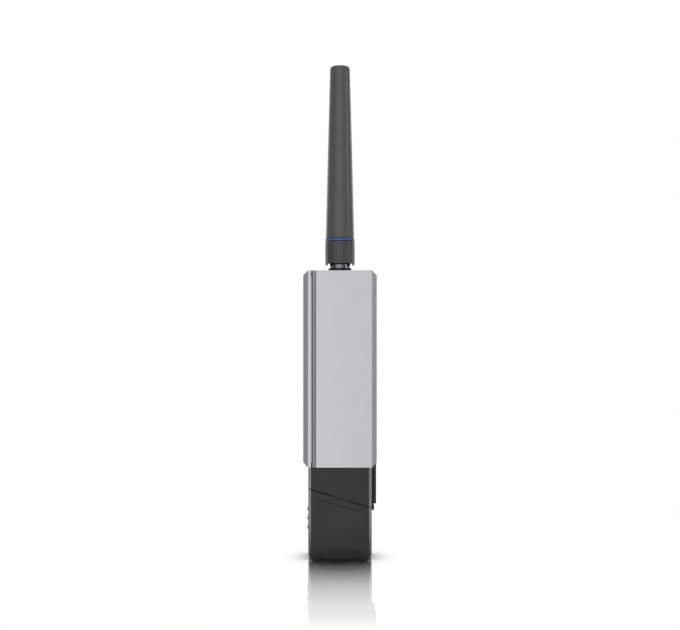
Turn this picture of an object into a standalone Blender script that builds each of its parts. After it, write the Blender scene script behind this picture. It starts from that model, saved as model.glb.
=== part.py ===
"""USB Wi-Fi adapter with a screw-on whip antenna, standing on its plug cap.

+Z runs up along the plug and the antenna, X runs across the broad face and Y through it.
The origin is on the surface that the cap stands on, under the antenna's axis.
"""
import math

import bmesh
import bpy
from mathutils import Matrix, Vector

MM = 0.001

# Two-piece housing
HOUSING_WIDTH = 26.0 * MM
HOUSING_DEPTH = 20.0 * MM
HOUSING_BOTTOM = 33.2 * MM
HOUSING_TOP = 102.7 * MM
HOUSING_CHAMFER = 1.7 * MM
HOUSING_WALL = 1.6 * MM
COVER_EDGE = -10.2 * MM
SHELL_EDGE = -10.0 * MM
SHELL_SLOPE_START = -8.35 * MM
SHELL_SLOPE_DROP = 1.2 * MM
JACK_HOLE_DIAMETER = 6.95 * MM

# Plug collar and plug cap share one outline and meet on a slanted seam
LOWER_WIDTH = 22.6 * MM
LOWER_DEPTH = 16.6 * MM
LOWER_EDGE_WIDTH = 1.05 * MM
LOWER_EDGE_DEPTH = 3.0 * MM
LOWER_WALL = 1.8 * MM
LOWER_INNER_WIDTH = LOWER_WIDTH - 2 * LOWER_WALL
LOWER_INNER_DEPTH = LOWER_DEPTH - 2 * LOWER_WALL
SEAM_HEIGHT = 22.15 * MM
SEAM_SLOPE = 0.304
SPIGOT_DEPTH = 1.6 * MM
NECK_WIDTH = 19.0 * MM
NECK_DEPTH = 14.0 * MM
NECK_TOP = 36.3 * MM
NECK_WALL = 1.2 * MM
NECK_FLANGE_REACH = 0.9 * MM
COLLAR_TOP = HOUSING_BOTTOM - 0.3 * MM
COLLAR_ROOF = 1.2 * MM
CAP_FLOOR = 4.3 * MM
FOOT_CURVE_RADIUS = 30.0 * MM
FOOT_CURVE_START = 10.9 * MM
FOOT_CORNER_WIDTH = 2.0 * MM
FOOT_CORNER_HEIGHT = 1.5 * MM
GRIP_RIDGE_HEIGHTS = (17.8 * MM, 14.6 * MM, 11.3 * MM)
CATCH_HEIGHT = 17.6 * MM
CATCH_PEG_DIAMETER = 0.8 * MM

# USB plug
PLUG_WIDTH = 12.0 * MM
PLUG_THICKNESS = 4.5 * MM
PLUG_TIP = 4.8 * MM
PLUG_END = 26.0 * MM
PLUG_METAL = 0.3 * MM

# Window for the light of the activity lamp, in the front cover
LIGHT_PIPE_DIAMETER = 2.2 * MM
LIGHT_PIPE_HEIGHT = 86.0 * MM

# Circuit board, held by two screws in bosses of the rear shell
BOSS_DIAMETER = 3.8 * MM
BOSS_PLACES = ((-4.9 * MM, 45.0 * MM), (4.9 * MM, 56.0 * MM))
SCREW_DIAMETER = 2.0 * MM
BOARD_THICKNESS = 1.2 * MM
BOARD_WIDTH = 14.6 * MM
BOARD_TAIL_WIDTH = 11.0 * MM
BOARD_BOTTOM = 27.6 * MM
BOARD_SHOULDER = 38.5 * MM
BOARD_TOP = 90.0 * MM
COAX_HEIGHT = 86.0 * MM
SHIELD_WIDTH = 12.4 * MM
SHIELD_BOTTOM = 60.0 * MM
SHIELD_TOP = 81.0 * MM

# Pairing key and the switch behind it
KEY_OUTER = 12.9 * MM
KEY_WIDTH = 6.0 * MM
KEY_BOTTOM = 19.55 * MM
KEY_TRAVEL = 0.35 * MM
KEY_BLOCK_WIDTH = 3.6 * MM
KEY_BLOCK_BOTTOM = 23.5 * MM
KEY_BLOCK_TOP = 30.6 * MM
SWITCH_HEIGHT = 30.4 * MM
SWITCH_WIDTH = 3.4 * MM
SWITCH_LENGTH = 2.8 * MM
SWITCH_FACE = 2.6 * MM
SWITCH_PLUNGER_DIAMETER = 1.6 * MM

# Antenna jack, with a 1/4-36 thread
THREAD_DIAMETER = 6.35 * MM
JACK_FLANGE_DIAMETER = 8.4 * MM
JACK_SHOULDER_DIAMETER = 7.3 * MM
JACK_FLANGE_TOP = 103.75 * MM
JACK_SHOULDER_TOP = 106.2 * MM
JACK_TOP = 111.2 * MM
JACK_TAIL = 93.5 * MM
JACK_BORE = 4.2 * MM
JACK_MOUTH = 4.65 * MM
JACK_MOUTH_FLOOR = 109.2 * MM
JACK_PIN_DIAMETER = 0.9 * MM
JACK_NUT_FLATS = 8.0 * MM
JACK_NUT_BOTTOM = 97.9 * MM
JACK_NUT_TOP = 100.1 * MM
WASHER_BOTTOM = 100.35 * MM
WASHER_TOP = 100.85 * MM

# Antenna
SLEEVE_DIAMETER = 10.6 * MM
SLEEVE_BOTTOM = 104.65 * MM
SLEEVE_TOP = 113.45 * MM
PLUG_FLANGE_TOP = 112.0 * MM
RING_DIAMETER = 10.54 * MM
RING_BOTTOM = 113.6 * MM
RING_TOP = 114.4 * MM
WHIP_BASE_DIAMETER = 10.2 * MM
WHIP_TIP_DIAMETER = 7.2 * MM
WHIP_BOTTOM = 114.55 * MM
WHIP_TOP = 176.4 * MM
PLUG_NECK_TOP = 120.0 * MM
CHOKE_BOTTOM = 121.5 * MM
CHOKE_TOP = 146.0 * MM
ROD_TOP = 171.0 * MM

# Air between pieces
REST_GAP = 0.3 * MM
SMALL_GAP = 0.15 * MM

MERGE_DISTANCE = 0.001 * MM

# Facets of round pieces
ROUND_SIDES = 40
TUBE_SIDES = 24
SMALL_SIDES = 16

# Finishes: colour, roughness, metallic
SATIN_SILVER = ((0.55, 0.55, 0.58), 0.38, 0.35)
DARK_PLASTIC = ((0.042, 0.042, 0.043), 0.42, 0.0)
BLACK_PLASTIC = ((0.010, 0.010, 0.011), 0.45, 0.0)
ANTENNA_BLACK = ((0.060, 0.062, 0.063), 0.45, 0.0)
RING_BLUE = ((0.060, 0.145, 0.420), 0.35, 0.0)
DARK_NICKEL = ((0.200, 0.200, 0.210), 0.18, 1.0)
BRIGHT_STEEL = ((0.600, 0.600, 0.610), 0.28, 1.0)
GOLD_PLATE = ((0.780, 0.560, 0.220), 0.25, 1.0)
BRASS = ((0.700, 0.520, 0.220), 0.30, 1.0)
BOARD_GREEN = ((0.020, 0.140, 0.060), 0.45, 0.0)
CHIP_BLACK = ((0.015, 0.015, 0.016), 0.50, 0.0)
WHITE_NYLON = ((0.720, 0.710, 0.680), 0.45, 0.0)
WHITE_PTFE = ((0.800, 0.800, 0.780), 0.40, 0.0)
CLEAR_ACRYLIC = ((0.800, 0.850, 0.850), 0.10, 0.0)
LED_LENS = ((0.300, 0.750, 0.350), 0.20, 0.0)
CABLE_GREY = ((0.250, 0.250, 0.260), 0.50, 0.0)

for old in list(bpy.data.objects):
    bpy.data.objects.remove(old)

PARTS = bpy.data.collections.new("usb_wifi_adapter")
CUTTERS = bpy.data.collections.new("cutters")
bpy.context.scene.collection.children.link(PARTS)
bpy.context.scene.collection.children.link(CUTTERS)


# ---------------------------------------------------------------- shapes

def move_to(collection, obj):
    for holder in list(obj.users_collection):
        holder.objects.unlink(obj)
    collection.objects.link(obj)
    return obj


def box(name, low, high):
    """A box between two corners."""
    low, high = Vector(low), Vector(high)
    bpy.ops.mesh.primitive_cube_add(size=1.0, location=(low + high) / 2)
    obj = bpy.context.object
    obj.name = name
    obj.data.transform(Matrix.Diagonal((*(high - low), 1.0)))
    return move_to(PARTS, obj)


def cylinder(name, radius, start, end, sides=SMALL_SIDES):
    """A round bar from start to end."""
    start, end = Vector(start), Vector(end)
    along = end - start
    bpy.ops.mesh.primitive_cylinder_add(vertices=sides, radius=radius, depth=along.length,
                                        location=(start + end) / 2)
    obj = bpy.context.object
    obj.name = name
    obj.rotation_euler = along.to_track_quat("Z", "Y").to_euler()
    shade_round(obj)
    return move_to(PARTS, obj)


def turned(name, profile, sides=ROUND_SIDES):
    """A turned shape about Z, from (radius, height) points that run down the outer side.

    A profile that starts off the axis is closed up its inner side, which makes a ring.
    """
    mesh = bpy.data.meshes.new(name)
    points = [(radius, 0.0, height) for radius, height in profile]
    edges = [(i, i + 1) for i in range(len(points) - 1)]
    if profile[0][0] > 0.0:
        edges.append((len(points) - 1, 0))
    mesh.from_pydata(points, edges, [])
    obj = bpy.data.objects.new(name, mesh)
    PARTS.objects.link(obj)
    screw = obj.modifiers.new("Turn", "SCREW")
    screw.steps = sides
    screw.render_steps = sides
    screw.use_merge_vertices = True
    screw.merge_threshold = MERGE_DISTANCE
    return shade_round(made_mesh(obj))


def extruded(name, outline, front, back):
    """A flat outline of (x, z) points, extruded from y = front to y = back."""
    curve = bpy.data.curves.new(name, "CURVE")
    curve.dimensions = "2D"
    curve.fill_mode = "BOTH"
    curve.extrude = (back - front) / 2
    spline = curve.splines.new("POLY")
    spline.points.add(len(outline) - 1)
    for point, (x, z) in zip(spline.points, outline):
        point.co = (x, z, 0.0, 1.0)
    spline.use_cyclic_u = True
    flat = bpy.data.objects.new(name, curve)
    flat.rotation_euler = (math.pi / 2, 0.0, 0.0)
    flat.location = (0.0, (front + back) / 2, 0.0)
    PARTS.objects.link(flat)
    return made_mesh(flat)


def made_mesh(source):
    """A curve or a turned profile made into a plain mesh object with welded caps."""
    bpy.context.view_layer.update()
    name = source.name
    evaluated = source.evaluated_get(bpy.context.evaluated_depsgraph_get())
    solid_mesh = bpy.data.meshes.new_from_object(evaluated)
    placed = source.matrix_world.copy()
    bpy.data.objects.remove(source)
    work = bmesh.new()
    work.from_mesh(solid_mesh)
    bmesh.ops.remove_doubles(work, verts=work.verts, dist=MERGE_DISTANCE)
    bmesh.ops.recalc_face_normals(work, faces=work.faces)
    work.to_mesh(solid_mesh)
    work.free()
    obj = bpy.data.objects.new(name, solid_mesh)
    obj.matrix_world = placed
    PARTS.objects.link(obj)
    return obj


def trim(obj, point, normal):
    """Cuts a convex block with a plane and closes it. The side that normal points to goes."""
    to_local = obj.matrix_basis.inverted()
    work = bmesh.new()
    work.from_mesh(obj.data)
    everything = work.verts[:] + work.edges[:] + work.faces[:]
    cut = bmesh.ops.bisect_plane(work, geom=everything, dist=0.0000001,
                                 plane_co=to_local @ Vector(point),
                                 plane_no=to_local.to_3x3() @ Vector(normal), clear_outer=True)
    rim = [item for item in cut["geom_cut"] if isinstance(item, bmesh.types.BMEdge)]
    bmesh.ops.edgeloop_fill(work, edges=rim)
    bmesh.ops.recalc_face_normals(work, faces=work.faces)
    work.to_mesh(obj.data)
    work.free()
    return obj


def combine(obj, tool, operation):
    """Joins or cuts an object with a tool, which goes to the cutters' collection."""
    tool.hide_render = True
    tool.display_type = "WIRE"
    move_to(CUTTERS, tool)
    boolean = obj.modifiers.new(tool.name, "BOOLEAN")
    boolean.operation = operation
    boolean.solver = "EXACT"
    boolean.object = tool
    return obj


def cut(obj, *tools):
    for tool in tools:
        combine(obj, tool, "DIFFERENCE")
    return obj


def join(obj, *tools):
    for tool in tools:
        combine(obj, tool, "UNION")
    return obj


def shade_round(obj):
    """Shades an object smooth, apart from its corners."""
    obj.data.shade_smooth()
    obj.data.set_sharp_from_angle(angle=math.radians(35))
    return obj


def coat(obj, finish):
    """Gives an object a material of its own."""
    colour, roughness, metallic = finish
    material = bpy.data.materials.new(obj.name)
    material.use_nodes = True
    shader = material.node_tree.nodes["Principled BSDF"]
    shader.inputs["Base Color"].default_value = (*colour, 1.0)
    shader.inputs["Roughness"].default_value = roughness
    shader.inputs["Metallic"].default_value = metallic
    obj.data.materials.clear()
    obj.data.materials.append(material)
    return obj


def axis_empty(name, location, pieces):
    """An empty on a joint's axis, which carries the pieces that move together."""
    empty = bpy.data.objects.new(name, None)
    empty.location = location
    PARTS.objects.link(empty)
    for piece in pieces:
        piece.parent = empty
        piece.matrix_parent_inverse = Matrix.Translation(location).inverted()
    return empty


# ---------------------------------------------------------------- housing

def housing_block(name, left, right):
    """The housing's outer form between two planes across X, with its 45 degree edges."""
    half_width, half_depth = HOUSING_WIDTH / 2, HOUSING_DEPTH / 2
    block = box(name, (-half_width, -half_depth, HOUSING_BOTTOM),
                (half_width, half_depth, HOUSING_TOP))
    inset = half_width - HOUSING_CHAMFER
    for side in (-1, 1):
        for face in (-1, 1):
            trim(block, (side * inset, face * half_depth, 0), (side, face, 0))
        trim(block, (side * inset, 0, HOUSING_TOP), (side, 0, 1))
        trim(block, (side * inset, 0, HOUSING_BOTTOM), (side, 0, -1))
    if left > -half_width:
        trim(block, (left, 0, 0), (-1, 0, 0))
    if right < half_width:
        trim(block, (right, 0, 0), (1, 0, 0))
    return block


def housing_hollow(name, left, right):
    """The space inside the housing's walls between two planes across X."""
    half_depth = HOUSING_DEPTH / 2 - HOUSING_WALL
    return box(name, (left, -half_depth, HOUSING_BOTTOM + HOUSING_WALL),
               (right, half_depth, HOUSING_TOP - HOUSING_WALL))


def front_cover():
    """The housing's lid: a dish with four locating tongues and a hole for the light pipe."""
    inner_left = -HOUSING_WIDTH / 2 + HOUSING_WALL
    cover = housing_block("front_cover", -HOUSING_WIDTH / 2, COVER_EDGE)
    cut(cover, housing_hollow("cover_hollow", inner_left, COVER_EDGE + HOUSING_WALL))
    reach, thickness, half_height = 3.4 * MM, 0.8 * MM, 2.5 * MM
    outer = HOUSING_DEPTH / 2 - HOUSING_WALL - 0.2 * MM
    for side in (-1, 1):
        near, far = sorted((side * outer, side * (outer - thickness)))
        for middle in (48.0 * MM, 92.0 * MM):
            join(cover, box("tongue", (inner_left - SMALL_GAP, near, middle - half_height),
                            (inner_left + reach, far, middle + half_height)))
    cut(cover, cylinder("light_pipe_hole", LIGHT_PIPE_DIAMETER / 2 + SMALL_GAP,
                        (-HOUSING_WIDTH, 0, LIGHT_PIPE_HEIGHT), (COVER_EDGE, 0, LIGHT_PIPE_HEIGHT)))
    return coat(cover, SATIN_SILVER)


def rear_shell():
    """The housing's tray: it slopes in at the seam, and has the jack's hole, a slot and two bosses."""
    shell = housing_block("rear_shell", SHELL_EDGE, HOUSING_WIDTH / 2)
    for face in (-1, 1):
        trim(shell, (SHELL_SLOPE_START, face * HOUSING_DEPTH / 2, 0),
             (-SHELL_SLOPE_DROP, face * (SHELL_SLOPE_START - SHELL_EDGE), 0))
    floor = HOUSING_WIDTH / 2 - HOUSING_WALL
    cut(shell, housing_hollow("shell_hollow", SHELL_EDGE - HOUSING_WALL, floor))
    cut(shell, cylinder("jack_hole", JACK_HOLE_DIAMETER / 2, (0, 0, HOUSING_TOP - 2 * HOUSING_WALL),
                        (0, 0, HOUSING_TOP + HOUSING_WALL), ROUND_SIDES))
    half_slot = NECK_DEPTH / 2 + REST_GAP
    cut(shell, box("neck_slot", (SHELL_EDGE - MM, -half_slot, HOUSING_BOTTOM - MM),
                   (NECK_WIDTH / 2 + REST_GAP, half_slot, HOUSING_BOTTOM + 2 * HOUSING_WALL)))
    boss_face = BOARD_THICKNESS / 2 + SMALL_GAP
    for across, height in BOSS_PLACES:
        join(shell, cylinder("boss", BOSS_DIAMETER / 2, (boss_face, across, height),
                             (floor + SMALL_GAP, across, height)))
    for across, height in BOSS_PLACES:
        cut(shell, cylinder("pilot_hole", SCREW_DIAMETER / 2 + SMALL_GAP,
                            (0, across, height), (floor / 2, across, height)))
    return coat(shell, SATIN_SILVER)


def light_pipe():
    """A clear rod from the lamp to the cover's face, with a collar that rests inside the cover."""
    outer_end, inner_end = -HOUSING_WIDTH / 2 + 0.05 * MM, -2.2 * MM
    pipe = cylinder("light_pipe", LIGHT_PIPE_DIAMETER / 2, (outer_end, 0, LIGHT_PIPE_HEIGHT),
                    (inner_end, 0, LIGHT_PIPE_HEIGHT))
    collar_face = -HOUSING_WIDTH / 2 + HOUSING_WALL + SMALL_GAP
    join(pipe, cylinder("pipe_collar", 0.8 * LIGHT_PIPE_DIAMETER, (collar_face, 0, LIGHT_PIPE_HEIGHT),
                        (collar_face + 0.6 * MM, 0, LIGHT_PIPE_HEIGHT)))
    return coat(pipe, CLEAR_ACRYLIC)


# ---------------------------------------------------------------- plug end

def seam_trim(block, offset, sign):
    """Cuts a block along the slanted seam moved down by offset; sign 1 takes what is above."""
    return trim(block, (0, 0, SEAM_HEIGHT - offset), (sign * SEAM_SLOPE, 0, sign))


def lower_block(name, bottom, top):
    """The outline shared by the collar and the cap. Its upright edges are cut off at a steep slant."""
    half_width, half_depth = LOWER_WIDTH / 2, LOWER_DEPTH / 2
    block = box(name, (-half_width, -half_depth, bottom), (half_width, half_depth, top))
    for side in (-1, 1):
        for face in (-1, 1):
            trim(block, (side * (half_width - LOWER_EDGE_WIDTH), face * half_depth, 0),
                 (side * LOWER_EDGE_DEPTH, face * LOWER_EDGE_WIDTH, 0))
    return block


def centred_box(name, width, depth, bottom, top):
    return box(name, (-width / 2, -depth / 2, bottom), (width / 2, depth / 2, top))


def plug_collar():
    """The fixed collar round the plug's root, with a neck and flange held by the rear shell."""
    collar = seam_trim(lower_block("plug_collar", 0, COLLAR_TOP), -SMALL_GAP, -1)
    join(collar, centred_box("neck", NECK_WIDTH, NECK_DEPTH, COLLAR_TOP - MM, NECK_TOP))
    flange_bottom = HOUSING_BOTTOM + HOUSING_WALL + REST_GAP
    flange_half_depth = NECK_DEPTH / 2 + NECK_FLANGE_REACH
    join(collar, box("neck_flange", (-NECK_WIDTH / 2 - SMALL_GAP, -flange_half_depth, flange_bottom),
                     (NECK_WIDTH / 2 + NECK_FLANGE_REACH, flange_half_depth, NECK_TOP)))
    spigot = centred_box("spigot", LOWER_INNER_WIDTH - 2 * REST_GAP, LOWER_INNER_DEPTH - 2 * REST_GAP,
                         0, SEAM_HEIGHT + 5 * MM)
    seam_trim(spigot, SPIGOT_DEPTH, -1)
    seam_trim(spigot, -MM, 1)
    join(collar, spigot)
    hollow = centred_box("collar_hollow", LOWER_INNER_WIDTH, LOWER_INNER_DEPTH, 0, COLLAR_TOP - COLLAR_ROOF)
    cut(collar, seam_trim(hollow, -LOWER_WALL, -1))
    cut(collar, centred_box("neck_hollow", NECK_WIDTH - 2 * NECK_WALL, NECK_DEPTH - 2 * NECK_WALL,
                            COLLAR_TOP - 2 * COLLAR_ROOF, NECK_TOP + MM))
    cut(collar, centred_box("plug_window", PLUG_THICKNESS + 0.5 * MM, PLUG_WIDTH + 0.5 * MM,
                            0, SEAM_HEIGHT + 4 * MM))
    side, half_pocket = LOWER_WIDTH / 2, KEY_WIDTH / 2 + 0.2 * MM
    cut(collar, box("key_pocket", (side - LOWER_WALL / 2, -half_pocket, KEY_BOTTOM - 0.25 * MM),
                    (side + MM, half_pocket, COLLAR_TOP + MM)))
    half_window = KEY_BLOCK_WIDTH / 2 + REST_GAP
    cut(collar, box("key_window", (side - 2 * LOWER_WALL, -half_window, KEY_BLOCK_BOTTOM - REST_GAP),
                    (side + MM, half_window, KEY_BLOCK_TOP + REST_GAP)))
    return coat(collar, DARK_PLASTIC)


def plug_cap():
    """The pull-off cap: faces that curve in at the foot, an arched recess, grip ridges and a groove."""
    half_depth = LOWER_DEPTH / 2
    cap = seam_trim(lower_block("plug_cap", 0, SEAM_HEIGHT + 6 * MM), SMALL_GAP, 1)
    trim_foot(cap)
    for height in GRIP_RIDGE_HEIGHTS:
        join(cap, grip_ridge(height))
    cut(cap, centred_box("cap_hollow", LOWER_INNER_WIDTH, LOWER_INNER_DEPTH,
                         CAP_FLOOR, SEAM_HEIGHT + 8 * MM))
    recess_depth, groove_depth = 3.7 * MM, 0.35 * MM
    for face in (-1, 1):
        near, far = sorted((face * (half_depth - recess_depth), face * (half_depth + MM)))
        cut(cap, extruded("foot_recess", foot_arch(), near, far))
        near, far = sorted((face * (half_depth - groove_depth), face * (half_depth + MM)))
        cut(cap, extruded("hooked_groove", hooked_line(), near, far))
    side = LOWER_WIDTH / 2
    cut(cap, cylinder("catch_hole", CATCH_PEG_DIAMETER / 2 + SMALL_GAP,
                      (side - 2 * LOWER_WALL, 0, CATCH_HEIGHT), (side + MM, 0, CATCH_HEIGHT)))
    return coat(cap, DARK_PLASTIC)


def trim_foot(cap):
    """Curves the broad faces in towards the foot, and cuts off the foot's two corners."""
    facets = 8
    sweep = math.asin(FOOT_CURVE_START / FOOT_CURVE_RADIUS)
    for face in (-1, 1):
        for i in range(facets):
            turn = sweep * (i + 1) / facets
            depth = LOWER_DEPTH / 2 - FOOT_CURVE_RADIUS * (1 - math.cos(turn))
            height = FOOT_CURVE_START - FOOT_CURVE_RADIUS * math.sin(turn)
            trim(cap, (0, face * depth, height), (0, face * math.cos(turn), -math.sin(turn)))
    for side in (-1, 1):
        trim(cap, (side * LOWER_WIDTH / 2, 0, FOOT_CORNER_HEIGHT),
             (side * FOOT_CORNER_HEIGHT, 0, -FOOT_CORNER_WIDTH))


def grip_ridge(height):
    """A ridge with a steep upper side, for the thumb that pulls the cap off."""
    side, root, reach, half_length = -LOWER_WIDTH / 2, 0.3 * MM, 0.45 * MM, 4.5 * MM
    outline = [(side + root, height - 0.7 * MM), (side + root, height + 0.8 * MM),
               (side - reach, height - 0.35 * MM)]
    return extruded("grip_ridge", outline, -half_length, half_length)


def foot_arch():
    """The recess at the cap's foot: a flat-topped arch, open at the bottom."""
    half_base, half_top, rise, steps = 7.5 * MM, 4.5 * MM, 3.45 * MM, 8
    right = [(half_base, -MM)]
    for i in range(steps + 1):
        turn = math.pi / 2 * i / steps
        right.append((half_top + (half_base - half_top) * math.cos(turn), rise * math.sin(turn)))
    left = [(-x, z) for x, z in reversed(right)]
    return right + left


def hooked_line():
    """A line cut parallel to the seam, whose right end turns up towards it."""
    half_line, drop, hook = 0.22 * MM, 2.6 * MM, 0.7 * MM
    slant = -math.atan(SEAM_SLOPE)
    along = [(-6.8 * MM, -half_line), (6.7 * MM, -half_line), (6.7 * MM + hook, hook - half_line),
             (6.3 * MM + hook, hook + half_line), (6.4 * MM, half_line), (-6.8 * MM, half_line)]
    return [(u * math.cos(slant) - v * math.sin(slant),
             SEAM_HEIGHT - drop + u * math.sin(slant) + v * math.cos(slant)) for u, v in along]


def cap_catch():
    """A small black lug for the thumbnail, pegged into the cap beside the seam's low end."""
    side = LOWER_WIDTH / 2
    inner, outer, half_width = side + SMALL_GAP, side + 0.95 * MM, 1.8 * MM
    bottom, top = CATCH_HEIGHT - 0.7 * MM, CATCH_HEIGHT + 1.7 * MM
    outline = [(inner, bottom), (outer, bottom + 0.3 * MM), (outer, top - 0.8 * MM),
               (outer - 0.4 * MM, top - 0.1 * MM), (inner, top)]
    catch = extruded("cap_catch", outline, -half_width, half_width)
    join(catch, cylinder("catch_peg", CATCH_PEG_DIAMETER / 2, (side - LOWER_WALL / 2, 0, CATCH_HEIGHT),
                         (inner + 0.3 * MM, 0, CATCH_HEIGHT)))
    return coat(catch, BLACK_PLASTIC)


def usb_shell():
    """The plug's folded metal shell, with four latching windows and two legs on the board's edges."""
    shell = centred_box("usb_shell", PLUG_THICKNESS, PLUG_WIDTH, PLUG_TIP, PLUG_END)
    cut(shell, centred_box("plug_bore", PLUG_THICKNESS - 2 * PLUG_METAL, PLUG_WIDTH - 2 * PLUG_METAL,
                           PLUG_TIP - MM, PLUG_END + MM))
    window_width, window_bottom, window_top = 2.2 * MM, PLUG_TIP + 5.2 * MM, PLUG_TIP + 7.8 * MM
    for side in (-1, 1):
        middle = side * 2.9 * MM
        cut(shell, box("latch_window", (-PLUG_THICKNESS, middle - window_width / 2, window_bottom),
                       (PLUG_THICKNESS, middle + window_width / 2, window_top)))
        near, far = sorted((side * (PLUG_WIDTH / 2 - PLUG_METAL), side * PLUG_WIDTH / 2))
        join(shell, box("leg", (-0.4 * MM, near, PLUG_END - MM), (0.4 * MM, far, BOARD_BOTTOM + 2 * MM)))
    return coat(shell, BRIGHT_STEEL)


def contact_places():
    """Centre and width of the plug's four contacts across Y: the outer two are for power."""
    return ((-3.5 * MM, 1.4 * MM), (-1.0 * MM, 1.0 * MM), (1.0 * MM, 1.0 * MM), (3.5 * MM, 1.4 * MM))


def usb_insulator():
    """The plug's tongue and the block that fills its root, slotted for the contacts."""
    half_inside = PLUG_THICKNESS / 2 - PLUG_METAL - SMALL_GAP
    half_width = PLUG_WIDTH / 2 - PLUG_METAL - SMALL_GAP
    tip, root, end, tongue_face = PLUG_TIP + 0.5 * MM, 17.5 * MM, PLUG_END + 0.4 * MM, -0.05 * MM
    outline = [(-half_inside, tip), (tongue_face, tip), (tongue_face, root),
               (half_inside, root), (half_inside, end), (-half_inside, end)]
    insulator = extruded("usb_insulator", outline, -half_width, half_width)
    for middle, width in contact_places():
        half_slot = width / 2 + SMALL_GAP
        cut(insulator, box("contact_slot", (tongue_face, middle - half_slot, root - MM),
                           (tongue_face + 0.6 * MM, middle + half_slot, end + MM)))
    return coat(insulator, WHITE_NYLON)


def usb_contacts():
    """Four gold-plated strips, which step up onto the board's face."""
    low, high, metal = 0.05 * MM, 0.8 * MM, 0.3 * MM
    tip, step_start, step_end, tail = PLUG_TIP + 1.4 * MM, PLUG_END + 0.75 * MM, 27.45 * MM, 28.8 * MM
    outline = [(low, tip), (low + metal, tip), (low + metal, step_start), (high + metal, step_end),
               (high + metal, tail), (high, tail), (high, step_end + SMALL_GAP),
               (low, step_start + SMALL_GAP)]
    for number, (middle, width) in enumerate(contact_places(), 1):
        coat(extruded(f"usb_contact_{number}", outline, middle - width / 2, middle + width / 2), GOLD_PLATE)


# ---------------------------------------------------------------- pairing key

def pairing_key():
    """A black bar in the collar's pocket, with a block through the wall, barbs and a stem."""
    side, top = LOWER_WIDTH / 2, COLLAR_TOP - 0.2 * MM
    inner = side - LOWER_WALL / 2 + KEY_TRAVEL + SMALL_GAP
    outline = [(inner, KEY_BOTTOM), (KEY_OUTER, KEY_BOTTOM), (KEY_OUTER, top + KEY_OUTER - side),
               (side, top), (inner, top)]
    key = extruded("pairing_key", outline, -KEY_WIDTH / 2, KEY_WIDTH / 2)
    wall_inside = side - LOWER_WALL
    half_block, barb = KEY_BLOCK_WIDTH / 2, MM
    join(key, box("key_block", (wall_inside - MM, -half_block, KEY_BLOCK_BOTTOM),
                  (inner + REST_GAP, half_block, KEY_BLOCK_TOP)))
    join(key, box("key_barbs", (wall_inside - 1.3 * MM, -half_block - barb, KEY_BLOCK_BOTTOM - barb),
                  (wall_inside - REST_GAP, half_block + barb, KEY_BLOCK_TOP + 0.8 * barb)))
    join(key, cylinder("key_stem", 0.9 * MM, (SWITCH_FACE + 0.8 * MM, 0, SWITCH_HEIGHT),
                       (wall_inside - 0.8 * MM, 0, SWITCH_HEIGHT)))
    return coat(key, BLACK_PLASTIC)


def key_switch():
    """The push switch on the board behind the key."""
    face = BOARD_THICKNESS / 2 + SMALL_GAP
    switch = box("key_switch", (face, -SWITCH_WIDTH / 2, SWITCH_HEIGHT - SWITCH_LENGTH / 2),
                 (SWITCH_FACE, SWITCH_WIDTH / 2, SWITCH_HEIGHT + SWITCH_LENGTH / 2))
    cut(switch, cylinder("plunger_hole", SWITCH_PLUNGER_DIAMETER / 2 + SMALL_GAP,
                         (SWITCH_FACE - 0.7 * MM, 0, SWITCH_HEIGHT), (SWITCH_FACE + MM, 0, SWITCH_HEIGHT)))
    return coat(switch, CHIP_BLACK)


def switch_plunger():
    """The switch's small round plunger, which the key's stem pushes."""
    sunk, proud = 0.15 * MM, 0.65 * MM
    plunger = cylinder("switch_plunger", SWITCH_PLUNGER_DIAMETER / 2,
                       (SWITCH_FACE - sunk, 0, SWITCH_HEIGHT), (SWITCH_FACE + proud, 0, SWITCH_HEIGHT))
    return coat(plunger, WHITE_NYLON)


# ---------------------------------------------------------------- circuit board

def main_board():
    """The board: a wide part in the housing and a narrow tail down through the collar's neck."""
    board = centred_box("main_board", BOARD_THICKNESS, BOARD_WIDTH, BOARD_SHOULDER, BOARD_TOP)
    join(board, centred_box("tail", BOARD_THICKNESS, BOARD_TAIL_WIDTH, BOARD_BOTTOM, BOARD_SHOULDER + MM))
    for across, height in BOSS_PLACES:
        cut(board, cylinder("screw_hole", SCREW_DIAMETER / 2 + SMALL_GAP,
                            (-MM, across, height), (MM, across, height)))
    return coat(board, BOARD_GREEN)


def board_screws():
    """Two pan-head screws through the board into the rear shell's bosses."""
    face, head_height, tip = -BOARD_THICKNESS / 2 - SMALL_GAP, 1.2 * MM, 5.2 * MM
    for number, (across, height) in enumerate(BOSS_PLACES, 1):
        screw = cylinder(f"board_screw_{number}", SCREW_DIAMETER / 2,
                         (face - head_height / 2, across, height), (tip, across, height))
        join(screw, cylinder("screw_head", 0.9 * SCREW_DIAMETER,
                             (face - head_height, across, height), (face, across, height)))
        coat(screw, BRIGHT_STEEL)


def board_block(name, finish, side, across, height, size):
    """A component on the board's +X (side 1) or -X (side -1) face. Size is height off it, Y, Z."""
    tall, wide, long = size
    face = side * (BOARD_THICKNESS / 2 + SMALL_GAP)
    near, far = sorted((face, face + side * tall))
    block = box(name, (near, across - wide / 2, height - long / 2),
                (far, across + wide / 2, height + long / 2))
    return coat(block, finish)


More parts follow.
